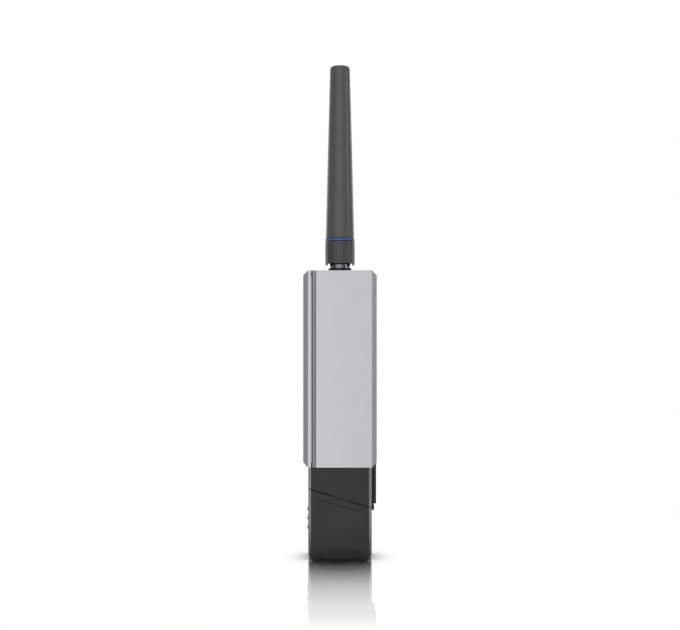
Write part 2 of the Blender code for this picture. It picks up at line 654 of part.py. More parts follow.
def board_components():
    """The chips, crystal and lamp that the board carries."""
    board_block("radio_chip", CHIP_BLACK, 1, 0, 66 * MM, (0.9 * MM, 7 * MM, 7 * MM))
    board_block("power_amplifier", CHIP_BLACK, 1, 0, 76 * MM, (0.8 * MM, 4 * MM, 4 * MM))
    board_block("crystal", BRIGHT_STEEL, 1, 4.4 * MM, 48.5 * MM, (0.8 * MM, 2.5 * MM, 3.2 * MM))
    board_block("flash_chip", CHIP_BLACK, 1, 0, 50 * MM, (1.2 * MM, 4 * MM, 5 * MM))
    board_block("voltage_regulator", CHIP_BLACK, -1, 0, 48 * MM, (1.4 * MM, 3.5 * MM, 6.5 * MM))
    board_block("status_led", LED_LENS, -1, 0, LIGHT_PIPE_HEIGHT, (0.8 * MM, 0.8 * MM, 1.6 * MM))


def shield_box(name, half_width, margin, low, high):
    """A box over the radio's part of the board, with the given margin past its ends."""
    return box(name, (low, -half_width, SHIELD_BOTTOM - margin), (high, half_width, SHIELD_TOP + margin))


def shield_frame():
    """The soldered frame of the radio's metal screen."""
    low, half_width, wall = BOARD_THICKNESS / 2 + SMALL_GAP, SHIELD_WIDTH / 2, 0.3 * MM
    frame = shield_box("shield_frame", half_width, 0, low, low + 1.6 * MM)
    cut(frame, shield_box("frame_opening", half_width - wall, -wall, 0, low + 2 * MM))
    return coat(frame, BRIGHT_STEEL)


def shield_lid():
    """The screen's lid, which snaps over the frame."""
    low, half_width, wall = BOARD_THICKNESS / 2 + 0.65 * MM, SHIELD_WIDTH / 2 + 0.4 * MM, 0.25 * MM
    lid = shield_box("shield_lid", half_width, 0.4 * MM, low, low + 1.65 * MM)
    cut(lid, shield_box("lid_hollow", half_width - wall, 0.4 * MM - wall, 0, low + 1.4 * MM))
    return coat(lid, BRIGHT_STEEL)


def coax_socket():
    """The small coaxial socket on the board."""
    face, half_base = BOARD_THICKNESS / 2 + SMALL_GAP, 1.3 * MM
    socket = box("coax_socket", (face, -half_base, COAX_HEIGHT - half_base),
                 (face + 0.5 * MM, half_base, COAX_HEIGHT + half_base))
    join(socket, cylinder("socket_ring", MM, (face + 0.3 * MM, 0, COAX_HEIGHT),
                          (face + 0.9 * MM, 0, COAX_HEIGHT)))
    return coat(socket, GOLD_PLATE)


def coax_plug():
    """The pigtail's plug, which presses onto the socket."""
    low = BOARD_THICKNESS / 2 + 1.2 * MM
    plug = cylinder("coax_plug", 1.5 * MM, (low, 0, COAX_HEIGHT), (low + 1.2 * MM, 0, COAX_HEIGHT))
    join(plug, box("plug_arm", (low + 0.1 * MM, -0.8 * MM, COAX_HEIGHT),
                   (low + 1.1 * MM, 0.8 * MM, COAX_HEIGHT + 2.1 * MM)))
    return coat(plug, GOLD_PLATE)


def coax_pigtail():
    """The thin coaxial lead from the jack's tail to the plug, one smooth bend."""
    start, leave = Vector((0, 0, JACK_TAIL + 2.2 * MM)), Vector((0, 0, JACK_TAIL - 2.5 * MM))
    end = Vector((BOARD_THICKNESS / 2 + 1.8 * MM, 0, COAX_HEIGHT + 2.3 * MM))
    arrive = end + Vector((0.6 * MM, 0, 3.2 * MM))
    steps = 10
    curve = bpy.data.curves.new("coax_pigtail", "CURVE")
    curve.dimensions = "3D"
    curve.bevel_depth = 0.6 * MM
    curve.bevel_resolution = 2
    curve.use_fill_caps = True
    spline = curve.splines.new("POLY")
    spline.points.add(steps)
    for i, point in enumerate(spline.points):
        t, rest = i / steps, 1 - i / steps
        place = rest ** 3 * start + 3 * t * rest ** 2 * leave + 3 * t * t * rest * arrive + t ** 3 * end
        point.co = (*place, 1.0)
    lead = bpy.data.objects.new("coax_pigtail", curve)
    PARTS.objects.link(lead)
    return coat(lead, CABLE_GREY)


# ---------------------------------------------------------------- antenna jack

def jack_body():
    """The turned jack: screw end, shoulder and flange outside the housing, shank and tail inside."""
    thread, bore, mouth = THREAD_DIAMETER / 2, JACK_BORE / 2, JACK_MOUTH / 2
    shoulder, flange = JACK_SHOULDER_DIAMETER / 2, JACK_FLANGE_DIAMETER / 2
    flange_bottom = HOUSING_TOP + 0.25 * MM
    shank_bottom, bore_bottom = JACK_TAIL + 2 * MM, JACK_TAIL + 3 * MM
    edge, tail, tail_bore = 0.25 * MM, 2.2 * MM, 0.9 * MM
    profile = [(thread - edge, JACK_TOP), (thread, JACK_TOP - edge), (thread, JACK_SHOULDER_TOP),
               (shoulder - edge, JACK_SHOULDER_TOP), (shoulder, JACK_SHOULDER_TOP - edge),
               (shoulder, JACK_FLANGE_TOP), (flange, JACK_FLANGE_TOP), (flange, flange_bottom),
               (thread, flange_bottom), (thread, shank_bottom), (tail, shank_bottom), (tail, JACK_TAIL),
               (tail_bore, JACK_TAIL), (tail_bore, bore_bottom), (bore, bore_bottom),
               (bore, JACK_MOUTH_FLOOR), (mouth, JACK_MOUTH_FLOOR), (mouth, JACK_TOP)]
    return coat(turned("jack_body", profile), DARK_NICKEL)


def tube(name, outer, inner, bottom, top, sides=TUBE_SIDES):
    """A plain turned tube about Z."""
    return turned(name, [(outer, top), (outer, bottom), (inner, bottom), (inner, top)], sides)


def jack_insulator():
    """The white bush that holds the jack's pin."""
    return coat(tube("jack_insulator", JACK_BORE / 2 - SMALL_GAP, JACK_PIN_DIAMETER / 2 + SMALL_GAP,
                     JACK_TAIL + 3.3 * MM, JACK_MOUTH_FLOOR - 0.2 * MM), WHITE_PTFE)


def jack_pin():
    """The jack's centre pin."""
    pin = cylinder("jack_pin", JACK_PIN_DIAMETER / 2,
                   (0, 0, JACK_TAIL + 3.1 * MM), (0, 0, JACK_TOP - 0.3 * MM))
    return coat(pin, GOLD_PLATE)


def jack_nut():
    """The hexagon nut that clamps the jack from inside the housing."""
    nut = cylinder("jack_nut", JACK_NUT_FLATS / 2 / math.cos(math.pi / 6),
                   (0, 0, JACK_NUT_BOTTOM), (0, 0, JACK_NUT_TOP), 6)
    cut(nut, cylinder("nut_bore", THREAD_DIAMETER / 2 + SMALL_GAP,
                      (0, 0, JACK_NUT_BOTTOM - MM), (0, 0, JACK_NUT_TOP + MM), TUBE_SIDES))
    return coat(nut, BRIGHT_STEEL)


def lock_washer():
    """The spring washer under the nut."""
    washer = tube("lock_washer", 4.4 * MM, THREAD_DIAMETER / 2 + 0.2 * MM, WASHER_BOTTOM, WASHER_TOP)
    return coat(washer, BRIGHT_STEEL)


# ---------------------------------------------------------------- antenna

def coupling_nut():
    """The threaded metal nut inside the sleeve. Its lip lifts the plug body by the flange."""
    outer, bore, lip = 4.15 * MM, THREAD_DIAMETER / 2 + SMALL_GAP, 2.6 * MM
    bottom = JACK_SHOULDER_TOP + REST_GAP
    lip_bottom, top = PLUG_FLANGE_TOP + SMALL_GAP, PLUG_FLANGE_TOP + 0.75 * MM
    profile = [(outer, top), (outer, bottom), (bore, bottom),
               (bore, lip_bottom), (lip, lip_bottom), (lip, top)]
    return coat(turned("coupling_nut", profile), BRIGHT_STEEL)


def knurled_sleeve():
    """The plastic grip over the nut, slotted across its mouth so that two thin walls stand down."""
    outer, bore, hole, edge = SLEEVE_DIAMETER / 2, 4.35 * MM, 2.6 * MM, 0.2 * MM
    ceiling = PLUG_FLANGE_TOP + 0.9 * MM
    profile = [(outer - edge, SLEEVE_TOP), (outer, SLEEVE_TOP - edge), (outer, SLEEVE_BOTTOM + 0.7 * MM),
               (outer - edge, SLEEVE_BOTTOM + 0.25 * MM), (outer - 3 * edge, SLEEVE_BOTTOM),
               (bore, SLEEVE_BOTTOM), (bore, ceiling), (hole, ceiling), (hole, SLEEVE_TOP)]
    sleeve = turned("knurled_sleeve", profile)
    slot_half, slot_height = bore + 0.05 * MM, 0.85 * MM
    cut(sleeve, box("mouth_slot", (-slot_half, -SLEEVE_DIAMETER, SLEEVE_BOTTOM - MM),
                    (slot_half, SLEEVE_DIAMETER, SLEEVE_BOTTOM + slot_height)))
    return coat(sleeve, ANTENNA_BLACK)


def antenna_plug_body():
    """The plug's metal body: a nose for the jack's mouth, a flange under the nut's lip and a neck."""
    nose, flange, neck, bore = JACK_MOUTH / 2 - 0.125 * MM, 3.15 * MM, 2.35 * MM, 1.7 * MM
    nose_bottom, flange_bottom = JACK_MOUTH_FLOOR + 0.25 * MM, JACK_TOP + SMALL_GAP
    profile = [(neck, PLUG_NECK_TOP), (neck, PLUG_FLANGE_TOP), (flange, PLUG_FLANGE_TOP),
               (flange, flange_bottom), (nose, flange_bottom), (nose, nose_bottom),
               (bore, nose_bottom), (bore, PLUG_NECK_TOP)]
    return coat(turned("antenna_plug_body", profile), BRIGHT_STEEL)


def antenna_insulator():
    """The white bush that holds the antenna's contact."""
    bush = tube("antenna_insulator", 1.55 * MM, 0.77 * MM, 110.0 * MM, PLUG_NECK_TOP - 0.4 * MM)
    return coat(bush, WHITE_PTFE)


def antenna_contact():
    """The contact that slips over the jack's pin."""
    outer, bore = 0.62 * MM, JACK_PIN_DIAMETER / 2 + 0.06 * MM
    top, bottom, bore_end = PLUG_NECK_TOP + 0.2 * MM, JACK_MOUTH_FLOOR + 0.3 * MM, 112.4 * MM
    profile = [(0, top), (outer, top), (outer, bottom), (bore, bottom), (bore, bore_end), (0, bore_end)]
    return coat(turned("antenna_contact", profile, SMALL_SIDES), GOLD_PLATE)


def antenna_ring():
    """The coloured ring between the sleeve and the whip."""
    outer, inner, edge = RING_DIAMETER / 2, 2.75 * MM, 0.15 * MM
    profile = [(outer - edge, RING_TOP), (outer, RING_TOP - edge), (outer, RING_BOTTOM + edge),
               (outer - edge, RING_BOTTOM), (inner, RING_BOTTOM), (inner, RING_TOP)]
    return coat(turned("antenna_ring", profile), RING_BLUE)


def antenna_whip():
    """The tapered cover of the antenna, with a rounded tip and a bore for the radiator."""
    base, tip, rounding, steps = WHIP_BASE_DIAMETER / 2, WHIP_TIP_DIAMETER / 2, 1.1 * MM, 4
    profile = [(0, WHIP_TOP)]
    for i in range(steps + 1):
        turn = math.pi / 2 * i / steps
        profile.append((tip - rounding * (1 - math.sin(turn)), WHIP_TOP - rounding * (1 - math.cos(turn))))
    neck_room, choke_room, rod_room = 2.6 * MM, 2.35 * MM, 1.5 * MM
    profile += [(base, WHIP_BOTTOM + 0.3 * MM), (base - 0.2 * MM, WHIP_BOTTOM), (neck_room, WHIP_BOTTOM),
                (neck_room, PLUG_NECK_TOP + MM), (choke_room, PLUG_NECK_TOP + 1.2 * MM),
                (choke_room, CHOKE_TOP + MM), (rod_room, CHOKE_TOP + 3 * MM),
                (rod_room, ROD_TOP + 2 * MM), (0, ROD_TOP + 2.5 * MM)]
    return coat(turned("antenna_whip", profile), ANTENNA_BLACK)


def antenna_rod():
    """The radiator's thin upper rod."""
    rod = cylinder("antenna_rod", 0.6 * MM, (0, 0, PLUG_NECK_TOP + 0.4 * MM), (0, 0, ROD_TOP))
    return coat(rod, BRASS)


def choke_sleeve():
    """The brass tube that makes the lower half of the radiator."""
    return coat(tube("choke_sleeve", 2.1 * MM, 1.75 * MM, CHOKE_BOTTOM, CHOKE_TOP), BRASS)


# ---------------------------------------------------------------- assembly

front_cover()
rear_shell()
light_pipe()
plug_collar()
usb_shell()
usb_insulator()
usb_contacts()
key_switch()
main_board()
board_screws()
board_components()
shield_frame()
shield_lid()
coax_socket()
coax_plug()
coax_pigtail()
jack_body()
jack_insulator()
jack_pin()
jack_nut()
lock_washer()
fixed_pieces = list(PARTS.objects)

key_axis = axis_empty("key_axis", (KEY_OUTER, 0, SWITCH_HEIGHT), [pairing_key(), switch_plunger()])
sleeve_axis = axis_empty("sleeve_axis", (0, 0, SLEEVE_BOTTOM), [knurled_sleeve(), coupling_nut()])
antenna_axis = axis_empty("antenna_axis", (0, 0, JACK_TOP),
                          [antenna_whip(), antenna_ring(), antenna_plug_body(), antenna_insulator(),
                           antenna_contact(), antenna_rod(), choke_sleeve(), sleeve_axis])

# The cap stands still, and the adapter lifts out of it
axis_empty("adapter_axis", (0, 0, SEAM_HEIGHT), fixed_pieces + [key_axis, antenna_axis])
plug_cap()
cap_catch()
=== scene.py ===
import math

import bmesh
import bpy
from mathutils import Matrix, Vector


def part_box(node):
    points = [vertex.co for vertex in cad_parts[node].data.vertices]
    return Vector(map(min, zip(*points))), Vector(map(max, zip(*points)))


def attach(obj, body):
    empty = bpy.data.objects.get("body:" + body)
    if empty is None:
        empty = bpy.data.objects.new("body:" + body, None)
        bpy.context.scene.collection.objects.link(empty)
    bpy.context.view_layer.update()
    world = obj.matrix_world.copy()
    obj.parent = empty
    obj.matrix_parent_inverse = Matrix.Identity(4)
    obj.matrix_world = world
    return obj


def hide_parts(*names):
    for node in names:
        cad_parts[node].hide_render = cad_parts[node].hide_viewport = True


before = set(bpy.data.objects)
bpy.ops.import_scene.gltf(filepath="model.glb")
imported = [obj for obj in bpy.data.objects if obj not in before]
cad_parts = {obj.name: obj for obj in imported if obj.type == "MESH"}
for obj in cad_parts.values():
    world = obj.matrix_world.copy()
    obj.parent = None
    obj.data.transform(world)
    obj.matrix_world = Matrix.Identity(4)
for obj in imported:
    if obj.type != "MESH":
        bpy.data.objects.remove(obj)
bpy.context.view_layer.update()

# ---------------------------------------------------------------- silver housing
# Two thin-walled mouldings in fine-grained ABS, sprayed with a satin silver lacquer. The cover's four
# tongues slip inside the tray. A clear rod through the side brings out the light of the board's lamp.

MM = 0.001


class Signal:
    """A shader socket that can be calculated with: each operator adds one Math node."""

    def __init__(self, network, socket):
        self.network = network
        self.socket = socket

    def math(self, operation, *terms):
        return self.network.node("Math", {"operation": operation}, dict(enumerate(terms)))

    def __add__(self, other):
        return self.math("ADD", self, other)

    def __radd__(self, other):
        return self.math("ADD", other, self)

    def __sub__(self, other):
        return self.math("SUBTRACT", self, other)

    def __rsub__(self, other):
        return self.math("SUBTRACT", other, self)

    def __mul__(self, other):
        return self.math("MULTIPLY", self, other)

    def __rmul__(self, other):
        return self.math("MULTIPLY", other, self)


class Network:
    """The nodes of one finish, or of the studio's light."""

    def __init__(self, tree):
        self.tree = tree

    def node(self, kind, settings=None, inputs=None, output=0):
        """Adds a node: its settings are made first, and then its sockets' values and links."""
        made = self.tree.nodes.new("ShaderNode" + kind)
        for name, value in (settings or {}).items():
            if name == "stops":
                set_stops(made.color_ramp, value)
            else:
                setattr(made, name, value)
        for socket, value in (inputs or {}).items():
            if isinstance(value, Signal):
                self.tree.links.new(value.socket, made.inputs[socket])
            else:
                made.inputs[socket].default_value = value
        return Signal(self, made.outputs[output])


class Finish(Network):
    """A finish: one Principled shader and the nodes that vary it over the surface."""

    def __init__(self, name, roughness, metallic=0.0, **steady):
        self.material = bpy.data.materials.new(name)
        self.material.use_nodes = True
        super().__init__(self.material.node_tree)
        self.shader = self.tree.nodes["Principled BSDF"]
        self.shader.inputs["Roughness"].default_value = roughness
        self.shader.inputs["Metallic"].default_value = metallic
        for socket, value in steady.items():
            self.shader.inputs[socket.replace("_", " ")].default_value = value
        self.place = self.node("TexCoord", output="Object")

    def feed(self, socket, signal):
        """Links a varying value to one of the shader's own sockets."""
        self.tree.links.new(signal.socket, self.shader.inputs[socket])
        return self

    def stretched(self, x, y, z):
        """The place on the piece, scaled along each axis: under 1 draws a pattern out along it."""
        return self.node("VectorMath", {"operation": "MULTIPLY"}, {0: self.place, 1: (x, y, z)})

    def clouds(self, size, detail=2.0, place=None):
        """Soft random variation from 0 to 1, with patches of about the given size."""
        return self.node("TexNoise", None,
                         {"Vector": place or self.place, "Scale": 1 / size, "Detail": detail})

    def grains(self, size):
        """Random cells from 0 at their middles to about 1 between them."""
        return self.node("TexVoronoi", None, {"Vector": self.place, "Scale": 1 / size})

    def step(self, signal, low, high):
        """Smoothly from 0 to 1 as the signal goes from low to high."""
        return self.node("MapRange", {"interpolation_type": "SMOOTHSTEP"},
                         {"Value": signal, "From Min": low, "From Max": high})

    def blend(self, factor, first, second):
        """A colour that goes from the first to the second."""
        sides = {0: factor, 6: colour(first), 7: colour(second)}
        return self.node("Mix", {"data_type": "RGBA"}, sides, output=2)

    def worn_edges(self, width):
        """Near 1 on the corners of the shape and 0 away from them."""
        rounded = self.node("Bevel", {"samples": 6}, {"Radius": width})
        flat = self.node("NewGeometry", output="Normal")
        match = self.node("VectorMath", {"operation": "DOT_PRODUCT"}, {0: rounded, 1: flat},
                          output="Value")
        return self.step(1 - match, 0.01, 0.25)

    def relief(self, height, depth):
        """A bump of the given depth that feeds the shader's normal."""
        bump = self.node("Bump", None, {"Height": height, "Distance": depth, "Strength": 1.0})
        return self.feed("Normal", bump)


def colour(value):
    """A colour socket takes four numbers."""
    return value if isinstance(value, Signal) else (*value, 1.0)


def set_stops(ramp, stops):
    """Sets a colour ramp's stops, each a place and a brightness."""
    while len(ramp.elements) < len(stops):
        ramp.elements.new(1.0)
    for element, (place, value) in zip(ramp.elements, stops):
        element.position = place
        element.color = (value, value, value, 1.0)


class Shape:
    """A mesh that is built up from closed forms."""

    def __init__(self, node=None):
        self.work = bmesh.new()
        if node:
            self.work.from_mesh(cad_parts[node].data)
            bmesh.ops.remove_doubles(self.work, verts=self.work.verts, dist=0.002 * MM)
            bmesh.ops.dissolve_limit(self.work, angle_limit=math.radians(0.4),
                                     verts=self.work.verts, edges=self.work.edges)

    def block(self, low, high, edge=0.0, segments=2):
        """A box between two corners, with rounded edges."""
        low, high = Vector(low), Vector(high)
        corners = bmesh.ops.create_cube(self.work, size=1.0)["verts"]
        bmesh.ops.scale(self.work, vec=high - low, verts=corners)
        bmesh.ops.translate(self.work, vec=(low + high) / 2, verts=corners)
        if edge:
            edges = list({line for corner in corners for line in corner.link_edges})
            bmesh.ops.bevel(self.work, geom=edges, offset=edge, segments=segments, profile=0.5,
                            affect="EDGES", clamp_overlap=True)
        return self

    def turned(self, profile, sides=64, place=Matrix(), shift=None):
        """A turned form. The profile of (radius, height) points runs down its outer side.

        Where it starts off the axis, it is closed up the inner side. Shift moves a radius by its
        height and angle.
        """
        rings = []
        for radius, height in profile:
            ring = []
            for i in range(sides if radius else 1):
                angle = 2 * math.pi * i / sides
                reach = shift(radius, height, angle) if shift else radius
                point = Vector((reach * math.cos(angle), reach * math.sin(angle), height))
                ring.append(self.work.verts.new(place @ point))
            rings.append(ring)
        if profile[0][0]:
            rings.append(rings[0])
        for upper, lower in zip(rings, rings[1:]):
            for i in range(sides):
                j = (i + 1) % sides
                around = (upper[i % len(upper)], lower[i % len(lower)],
                          lower[j % len(lower)], upper[j % len(upper)])
                self.work.faces.new(list(dict.fromkeys(around)))
        return self

    def bar(self, radius, start, end, edge=0.0, sides=32):
        """A round bar with rounded ends."""
        start, end = Vector(start), Vector(end)
        length = (end - start).length
        turn = (end - start).to_track_quat("Z", "Y").to_matrix().to_4x4()
        profile = [(0, length), (radius - edge, length), (radius, length - edge),
                   (radius, edge), (radius - edge, 0), (0, 0)]
        if not edge:
            profile = [(0, length), (radius, length), (radius, 0), (0, 0)]
        return self.turned(profile, sides, Matrix.Translation(start) @ turn)

    def made(self, name, corner=35):
        """The finished mesh, smooth apart from its corners."""
        bmesh.ops.recalc_face_normals(self.work, faces=self.work.faces)
        mesh = bpy.data.meshes.new(name)
        self.work.to_mesh(mesh)
        self.work.free()
        return smoothed(mesh, corner)


def smoothed(mesh, corner=35):
    """Shades a mesh smooth, apart from its corners over that many degrees."""
    mesh.shade_smooth()
    mesh.set_sharp_from_angle(angle=math.radians(corner))
    return mesh


def fit(mesh, finish, body, slot, *nodes):
    """Shows a mesh as a piece of that body. It stands for the solids named last."""
    mesh.materials.clear()
    mesh.materials.append(finish.material)
    piece = bpy.data.objects.new(mesh.name, mesh)
    bpy.context.scene.collection.objects.link(piece)
    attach(piece, body)
    if nodes:
        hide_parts(*nodes)
    return piece


def soften(piece, width, segments=2):
    """Rounds every corner of a piece over 30 degrees."""
    rounding = piece.modifiers.new("Rounding", "BEVEL")
    rounding.width = width
    rounding.segments = segments
    rounding.limit_method = "ANGLE"
    rounding.angle_limit = math.radians(30)
    rounding.use_clamp_overlap = False
    rounding.harden_normals = True
    return piece


def satin_silver():
    """Silver lacquer: fine flakes, a faint orange peel, and corners where the coat is thin."""
    coat = Finish("satin_silver", 0.24, 0.78, Coat_Roughness=0.3, Coat_Weight=0.06)
    flakes = coat.grains(0.09 * MM)
    drift = coat.clouds(9 * MM)
    lacquer = coat.blend(drift, (0.600, 0.597, 0.625), (0.634, 0.631, 0.657))
    flecked = coat.blend(coat.step(flakes, 0.55, 0.9) * 0.35, lacquer, (0.52, 0.52, 0.54))
    wear = coat.worn_edges(0.15 * MM) * coat.step(coat.clouds(1.6 * MM, 4.0), 0.35, 0.75)
    coat.feed("Base Color", coat.blend(wear * 0.2, flecked, (0.78, 0.78, 0.79)))
    coat.feed("Roughness", 0.22 + 0.015 * coat.clouds(2.5 * MM) + 0.03 * flakes)
    return coat.relief(coat.clouds(0.4 * MM, 2.0) + 0.3 * flakes, 0.0012 * MM)


# The cover's rim runs on into the sloping seam as two low steps, on its front and on its back.
RIM_LEFT, RIM_LOW, RIM_HIGH = -11.4 * MM, 35.0 * MM, 100.9 * MM
RIM_STEPS = ((8.02 * MM, 8.34 * MM, -9.3 * MM), (8.3 * MM, 8.46 * MM, -10.4 * MM))
HOUSING_CORNER = 0.1 * MM

silver = satin_silver()
tray = Shape("rear_shell")
cover = Shape("front_cover")
for side in (-1, 1):
    for inner, outer, right in RIM_STEPS:
        near, far = sorted((side * inner, side * outer))
        cover.block((RIM_LEFT, near, RIM_LOW), (right, far, RIM_HIGH))
for moulding, node in ((tray, "rear_shell"), (cover, "front_cover")):
    shell = fit(moulding.made(node + "_moulding"), silver, "chassis", "silver_shell", node)
    soften(shell, HOUSING_CORNER, 3)

clear = Finish("clear_acrylic", 0.08, Transmission_Weight=0.85, IOR=1.49)
clear.feed("Base Color", clear.blend(clear.clouds(0.8 * MM), (0.86, 0.90, 0.90), (0.92, 0.95, 0.95)))
clear.feed("Roughness", 0.05 + 0.12 * clear.clouds(0.3 * MM, 4.0))
clear.relief(clear.clouds(0.5 * MM), 0.003 * MM)

ROD_RADIUS, ROD_END_ROUNDING = 1.1 * MM, 0.25 * MM
COLLAR_RADIUS, COLLAR_LENGTH, COLLAR_PLACE, COLLAR_ROUNDING = 1.76 * MM, 0.6 * MM, 1.7 * MM, 0.12 * MM

low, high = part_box("light_pipe")
middle = (low.z + high.z) / 2
face = low.x + COLLAR_PLACE
light_rod = Shape()
light_rod.bar(ROD_RADIUS, (low.x, 0, middle), (high.x, 0, middle), ROD_END_ROUNDING, 48)
light_rod.bar(COLLAR_RADIUS, (face, 0, middle), (face + COLLAR_LENGTH, 0, middle), COLLAR_ROUNDING, 48)
fit(light_rod.made("light_rod"), clear, "chassis", "clear_acrylic", "light_pipe")

# ---------------------------------------------------------------- plug collar
# The fixed collar is one dark grey moulding with a spark-eroded grain. Its neck and flange are trapped
# by the tray's slot, and the spigot round its mouth is what the cap pushes on to.


def dark_moulding():
    """Dark grey plastic with a fine even grain, a little paler and smoother on its corners."""
    coat = Finish("dark_moulding", 0.34, 0.0, IOR=1.47)
    grain = coat.clouds(0.16 * MM, 3.0)
    drift = coat.clouds(7 * MM)
    base = coat.blend(drift, (0.0130, 0.0130, 0.0135), (0.017, 0.017, 0.0175))
    speckled = coat.blend(coat.step(grain, 0.52, 0.72) * 0.5, base, (0.028, 0.028, 0.029))
    rub = coat.worn_edges(0.16 * MM) * coat.step(coat.clouds(1.3 * MM, 4.0), 0.35, 0.7)
    coat.feed("Base Color", coat.blend(rub * 0.5, speckled, (0.06, 0.06, 0.061)))
    coat.feed("Roughness", 0.27 + 0.12 * grain - 0.05 * rub)
    return coat.relief(grain, 0.006 * MM)


PLUG_END_CORNER = 0.07 * MM

dark = dark_moulding()
collar = Shape("plug_collar").made("collar_moulding")
soften(fit(collar, dark, "chassis", "dark_plastic", "plug_collar"), PLUG_END_CORNER)

# ---------------------------------------------------------------- plug cap
# The pull-off cap is moulded in the same plastic. It has three grip ridges and a hooked line cut
# beside the seam, and a small black lug is pegged into its side for the thumbnail.

cap = Shape("plug_cap").made("cap_moulding")
soften(fit(cap, dark, "cap", "dark_plastic", "plug_cap"), PLUG_END_CORNER)


def black_moulding():
    """Black plastic: finer grain, almost no colour change, polished where fingers touch it."""
    coat = Finish("black_moulding", 0.4, 0.0, IOR=1.48)
    grain = coat.clouds(0.2 * MM, 3.0)
    base = coat.blend(coat.clouds(3 * MM), (0.0055, 0.0055, 0.006), (0.0095, 0.0095, 0.010))
    rub = coat.worn_edges(0.14 * MM)
    coat.feed("Base Color", coat.blend(rub * 0.4, base, (0.03, 0.03, 0.031)))
    coat.feed("Roughness", 0.42 + 0.16 * grain - 0.1 * rub)
    return coat.relief(grain, 0.005 * MM)


black = black_moulding()
soften(fit(Shape("cap_catch").made("catch_lug"), black, "cap", "black_plastic", "cap_catch"), 0.08 * MM)

# ---------------------------------------------------------------- pairing key
# The key is a black moulded bar. Two barbs hold it behind the collar's wall, and its stem reaches the
# plunger of the small push switch on the board, whose dome springs it back.

soften(fit(Shape("pairing_key").made("key_bar"), black, "key", "black_plastic", "pairing_key"), 0.1 * MM)


def white_moulding(name, warm):
    """White engineering plastic, slightly mottled and waxy."""
    coat = Finish(name, 0.4, 0.0, Subsurface_Weight=0.1, Subsurface_Scale=0.5 * MM)
    flow = coat.clouds(1.2 * MM, 3.0, coat.stretched(1.0, 1.0, 0.3))
    coat.feed("Base Color", coat.blend(flow, (0.70, 0.69, 0.68 - warm), (0.78, 0.775, 0.77 - warm)))
    coat.feed("Roughness", 0.34 + 0.14 * flow)
    return coat.relief(coat.clouds(0.25 * MM, 3.0), 0.003 * MM)


nylon = white_moulding("white_nylon", 0.05)


def dark_epoxy():
    """Moulded epoxy of a chip: matt, pitted and slightly brown."""
    coat = Finish("dark_epoxy", 0.55)
    pits = coat.grains(0.12 * MM)
    coat.feed("Base Color", coat.blend(pits, (0.012, 0.012, 0.013), (0.026, 0.025, 0.025)))
    coat.feed("Roughness", 0.5 + 0.15 * pits)
    return coat.relief(coat.clouds(0.08 * MM, 3.0), 0.004 * MM)


epoxy = dark_epoxy()
soften(fit(Shape("key_switch").made("switch_case"), epoxy, "chassis", "chip_black", "key_switch"), 0.08 * MM)
low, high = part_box("switch_plunger")
radius = (high.z - low.z) / 2
centre = ((low.y + high.y) / 2, (low.z + high.z) / 2)
plunger = Shape().bar(radius, (low.x, *centre), (high.x, *centre), 0.18 * MM)
fit(plunger.made("plunger_pin"), nylon, "key", "white_nylon", "switch_plunger")

# ---------------------------------------------------------------- usb plug
# The plug's shell is folded from 0.3 mm plated steel, with a butt seam down one broad face. It holds a
# white tongue and four gold-plated springs, and its two legs are soldered to the board's edges.


def bright_steel():
    """Bright rolled steel, with fine rolling lines along the plug and scuffs."""
    coat = Finish("bright_steel", 0.24, 1.0)
    lines = coat.clouds(0.09 * MM, 2.0, coat.stretched(1.0, 1.0, 0.04))
    scuffs = coat.step(coat.clouds(0.9 * MM, 5.0), 0.58, 0.74)
    coat.feed("Base Color", coat.blend(lines, (0.60, 0.60, 0.605), (0.71, 0.71, 0.715)))
    coat.feed("Roughness", 0.17 + 0.12 * lines + 0.14 * scuffs)
    return coat.relief(lines, 0.0015 * MM)


steel = bright_steel()


def carved(mesh, tool):
    """A mesh with another one cut out of it."""
    body = bpy.data.objects.new("carved", mesh)
    cutter = bpy.data.objects.new("tool", tool)
    for made in (body, cutter):
        bpy.context.scene.collection.objects.link(made)
    cut = body.modifiers.new("Cut", "BOOLEAN")
    cut.solver = "EXACT"
    cut.object = cutter
    bpy.context.view_layer.update()
    result = bpy.data.meshes.new_from_object(body.evaluated_get(bpy.context.evaluated_depsgraph_get()))
    for made in (body, cutter):
        bpy.data.objects.remove(made)
    name = mesh.name
    bpy.data.meshes.remove(mesh)
    result.name = name
    return smoothed(result)


SEAM_HALF_WIDTH, SEAM_DEPTH, SEAM_END = 0.06 * MM, 0.14 * MM, 27.0 * MM

low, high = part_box("usb_shell")
fold_line = Shape().block((high.x - SEAM_DEPTH, -SEAM_HALF_WIDTH, low.z - MM),
                          (high.x + MM, SEAM_HALF_WIDTH, SEAM_END))
shell_mesh = carved(Shape("usb_shell").made("plug_shell"), fold_line.made("fold_line"))
soften(fit(shell_mesh, steel, "chassis", "bright_steel", "usb_shell"), 0.05 * MM)
tongue = Shape("usb_insulator").made("plug_tongue")
soften(fit(tongue, nylon, "chassis", "white_nylon", "usb_insulator"), 0.06 * MM)


def gold_plate():
    """Thin gold over nickel: warm, bright, and slightly uneven."""
    coat = Finish("gold_plate", 0.22, 1.0)
    uneven = coat.clouds(0.4 * MM, 4.0)
    coat.feed("Base Color", coat.blend(uneven, (0.78, 0.55, 0.21), (0.86, 0.66, 0.31)))
    coat.feed("Roughness", 0.14 + 0.16 * uneven)
    return coat.relief(coat.clouds(0.15 * MM, 3.0), 0.001 * MM)


gold = gold_plate()
for number in range(1, 5):
    node = f"usb_contact_{number}"
    soften(fit(Shape(node).made(f"contact_spring_{number}"), gold, "chassis", "gold_plate", node), 0.04 * MM)

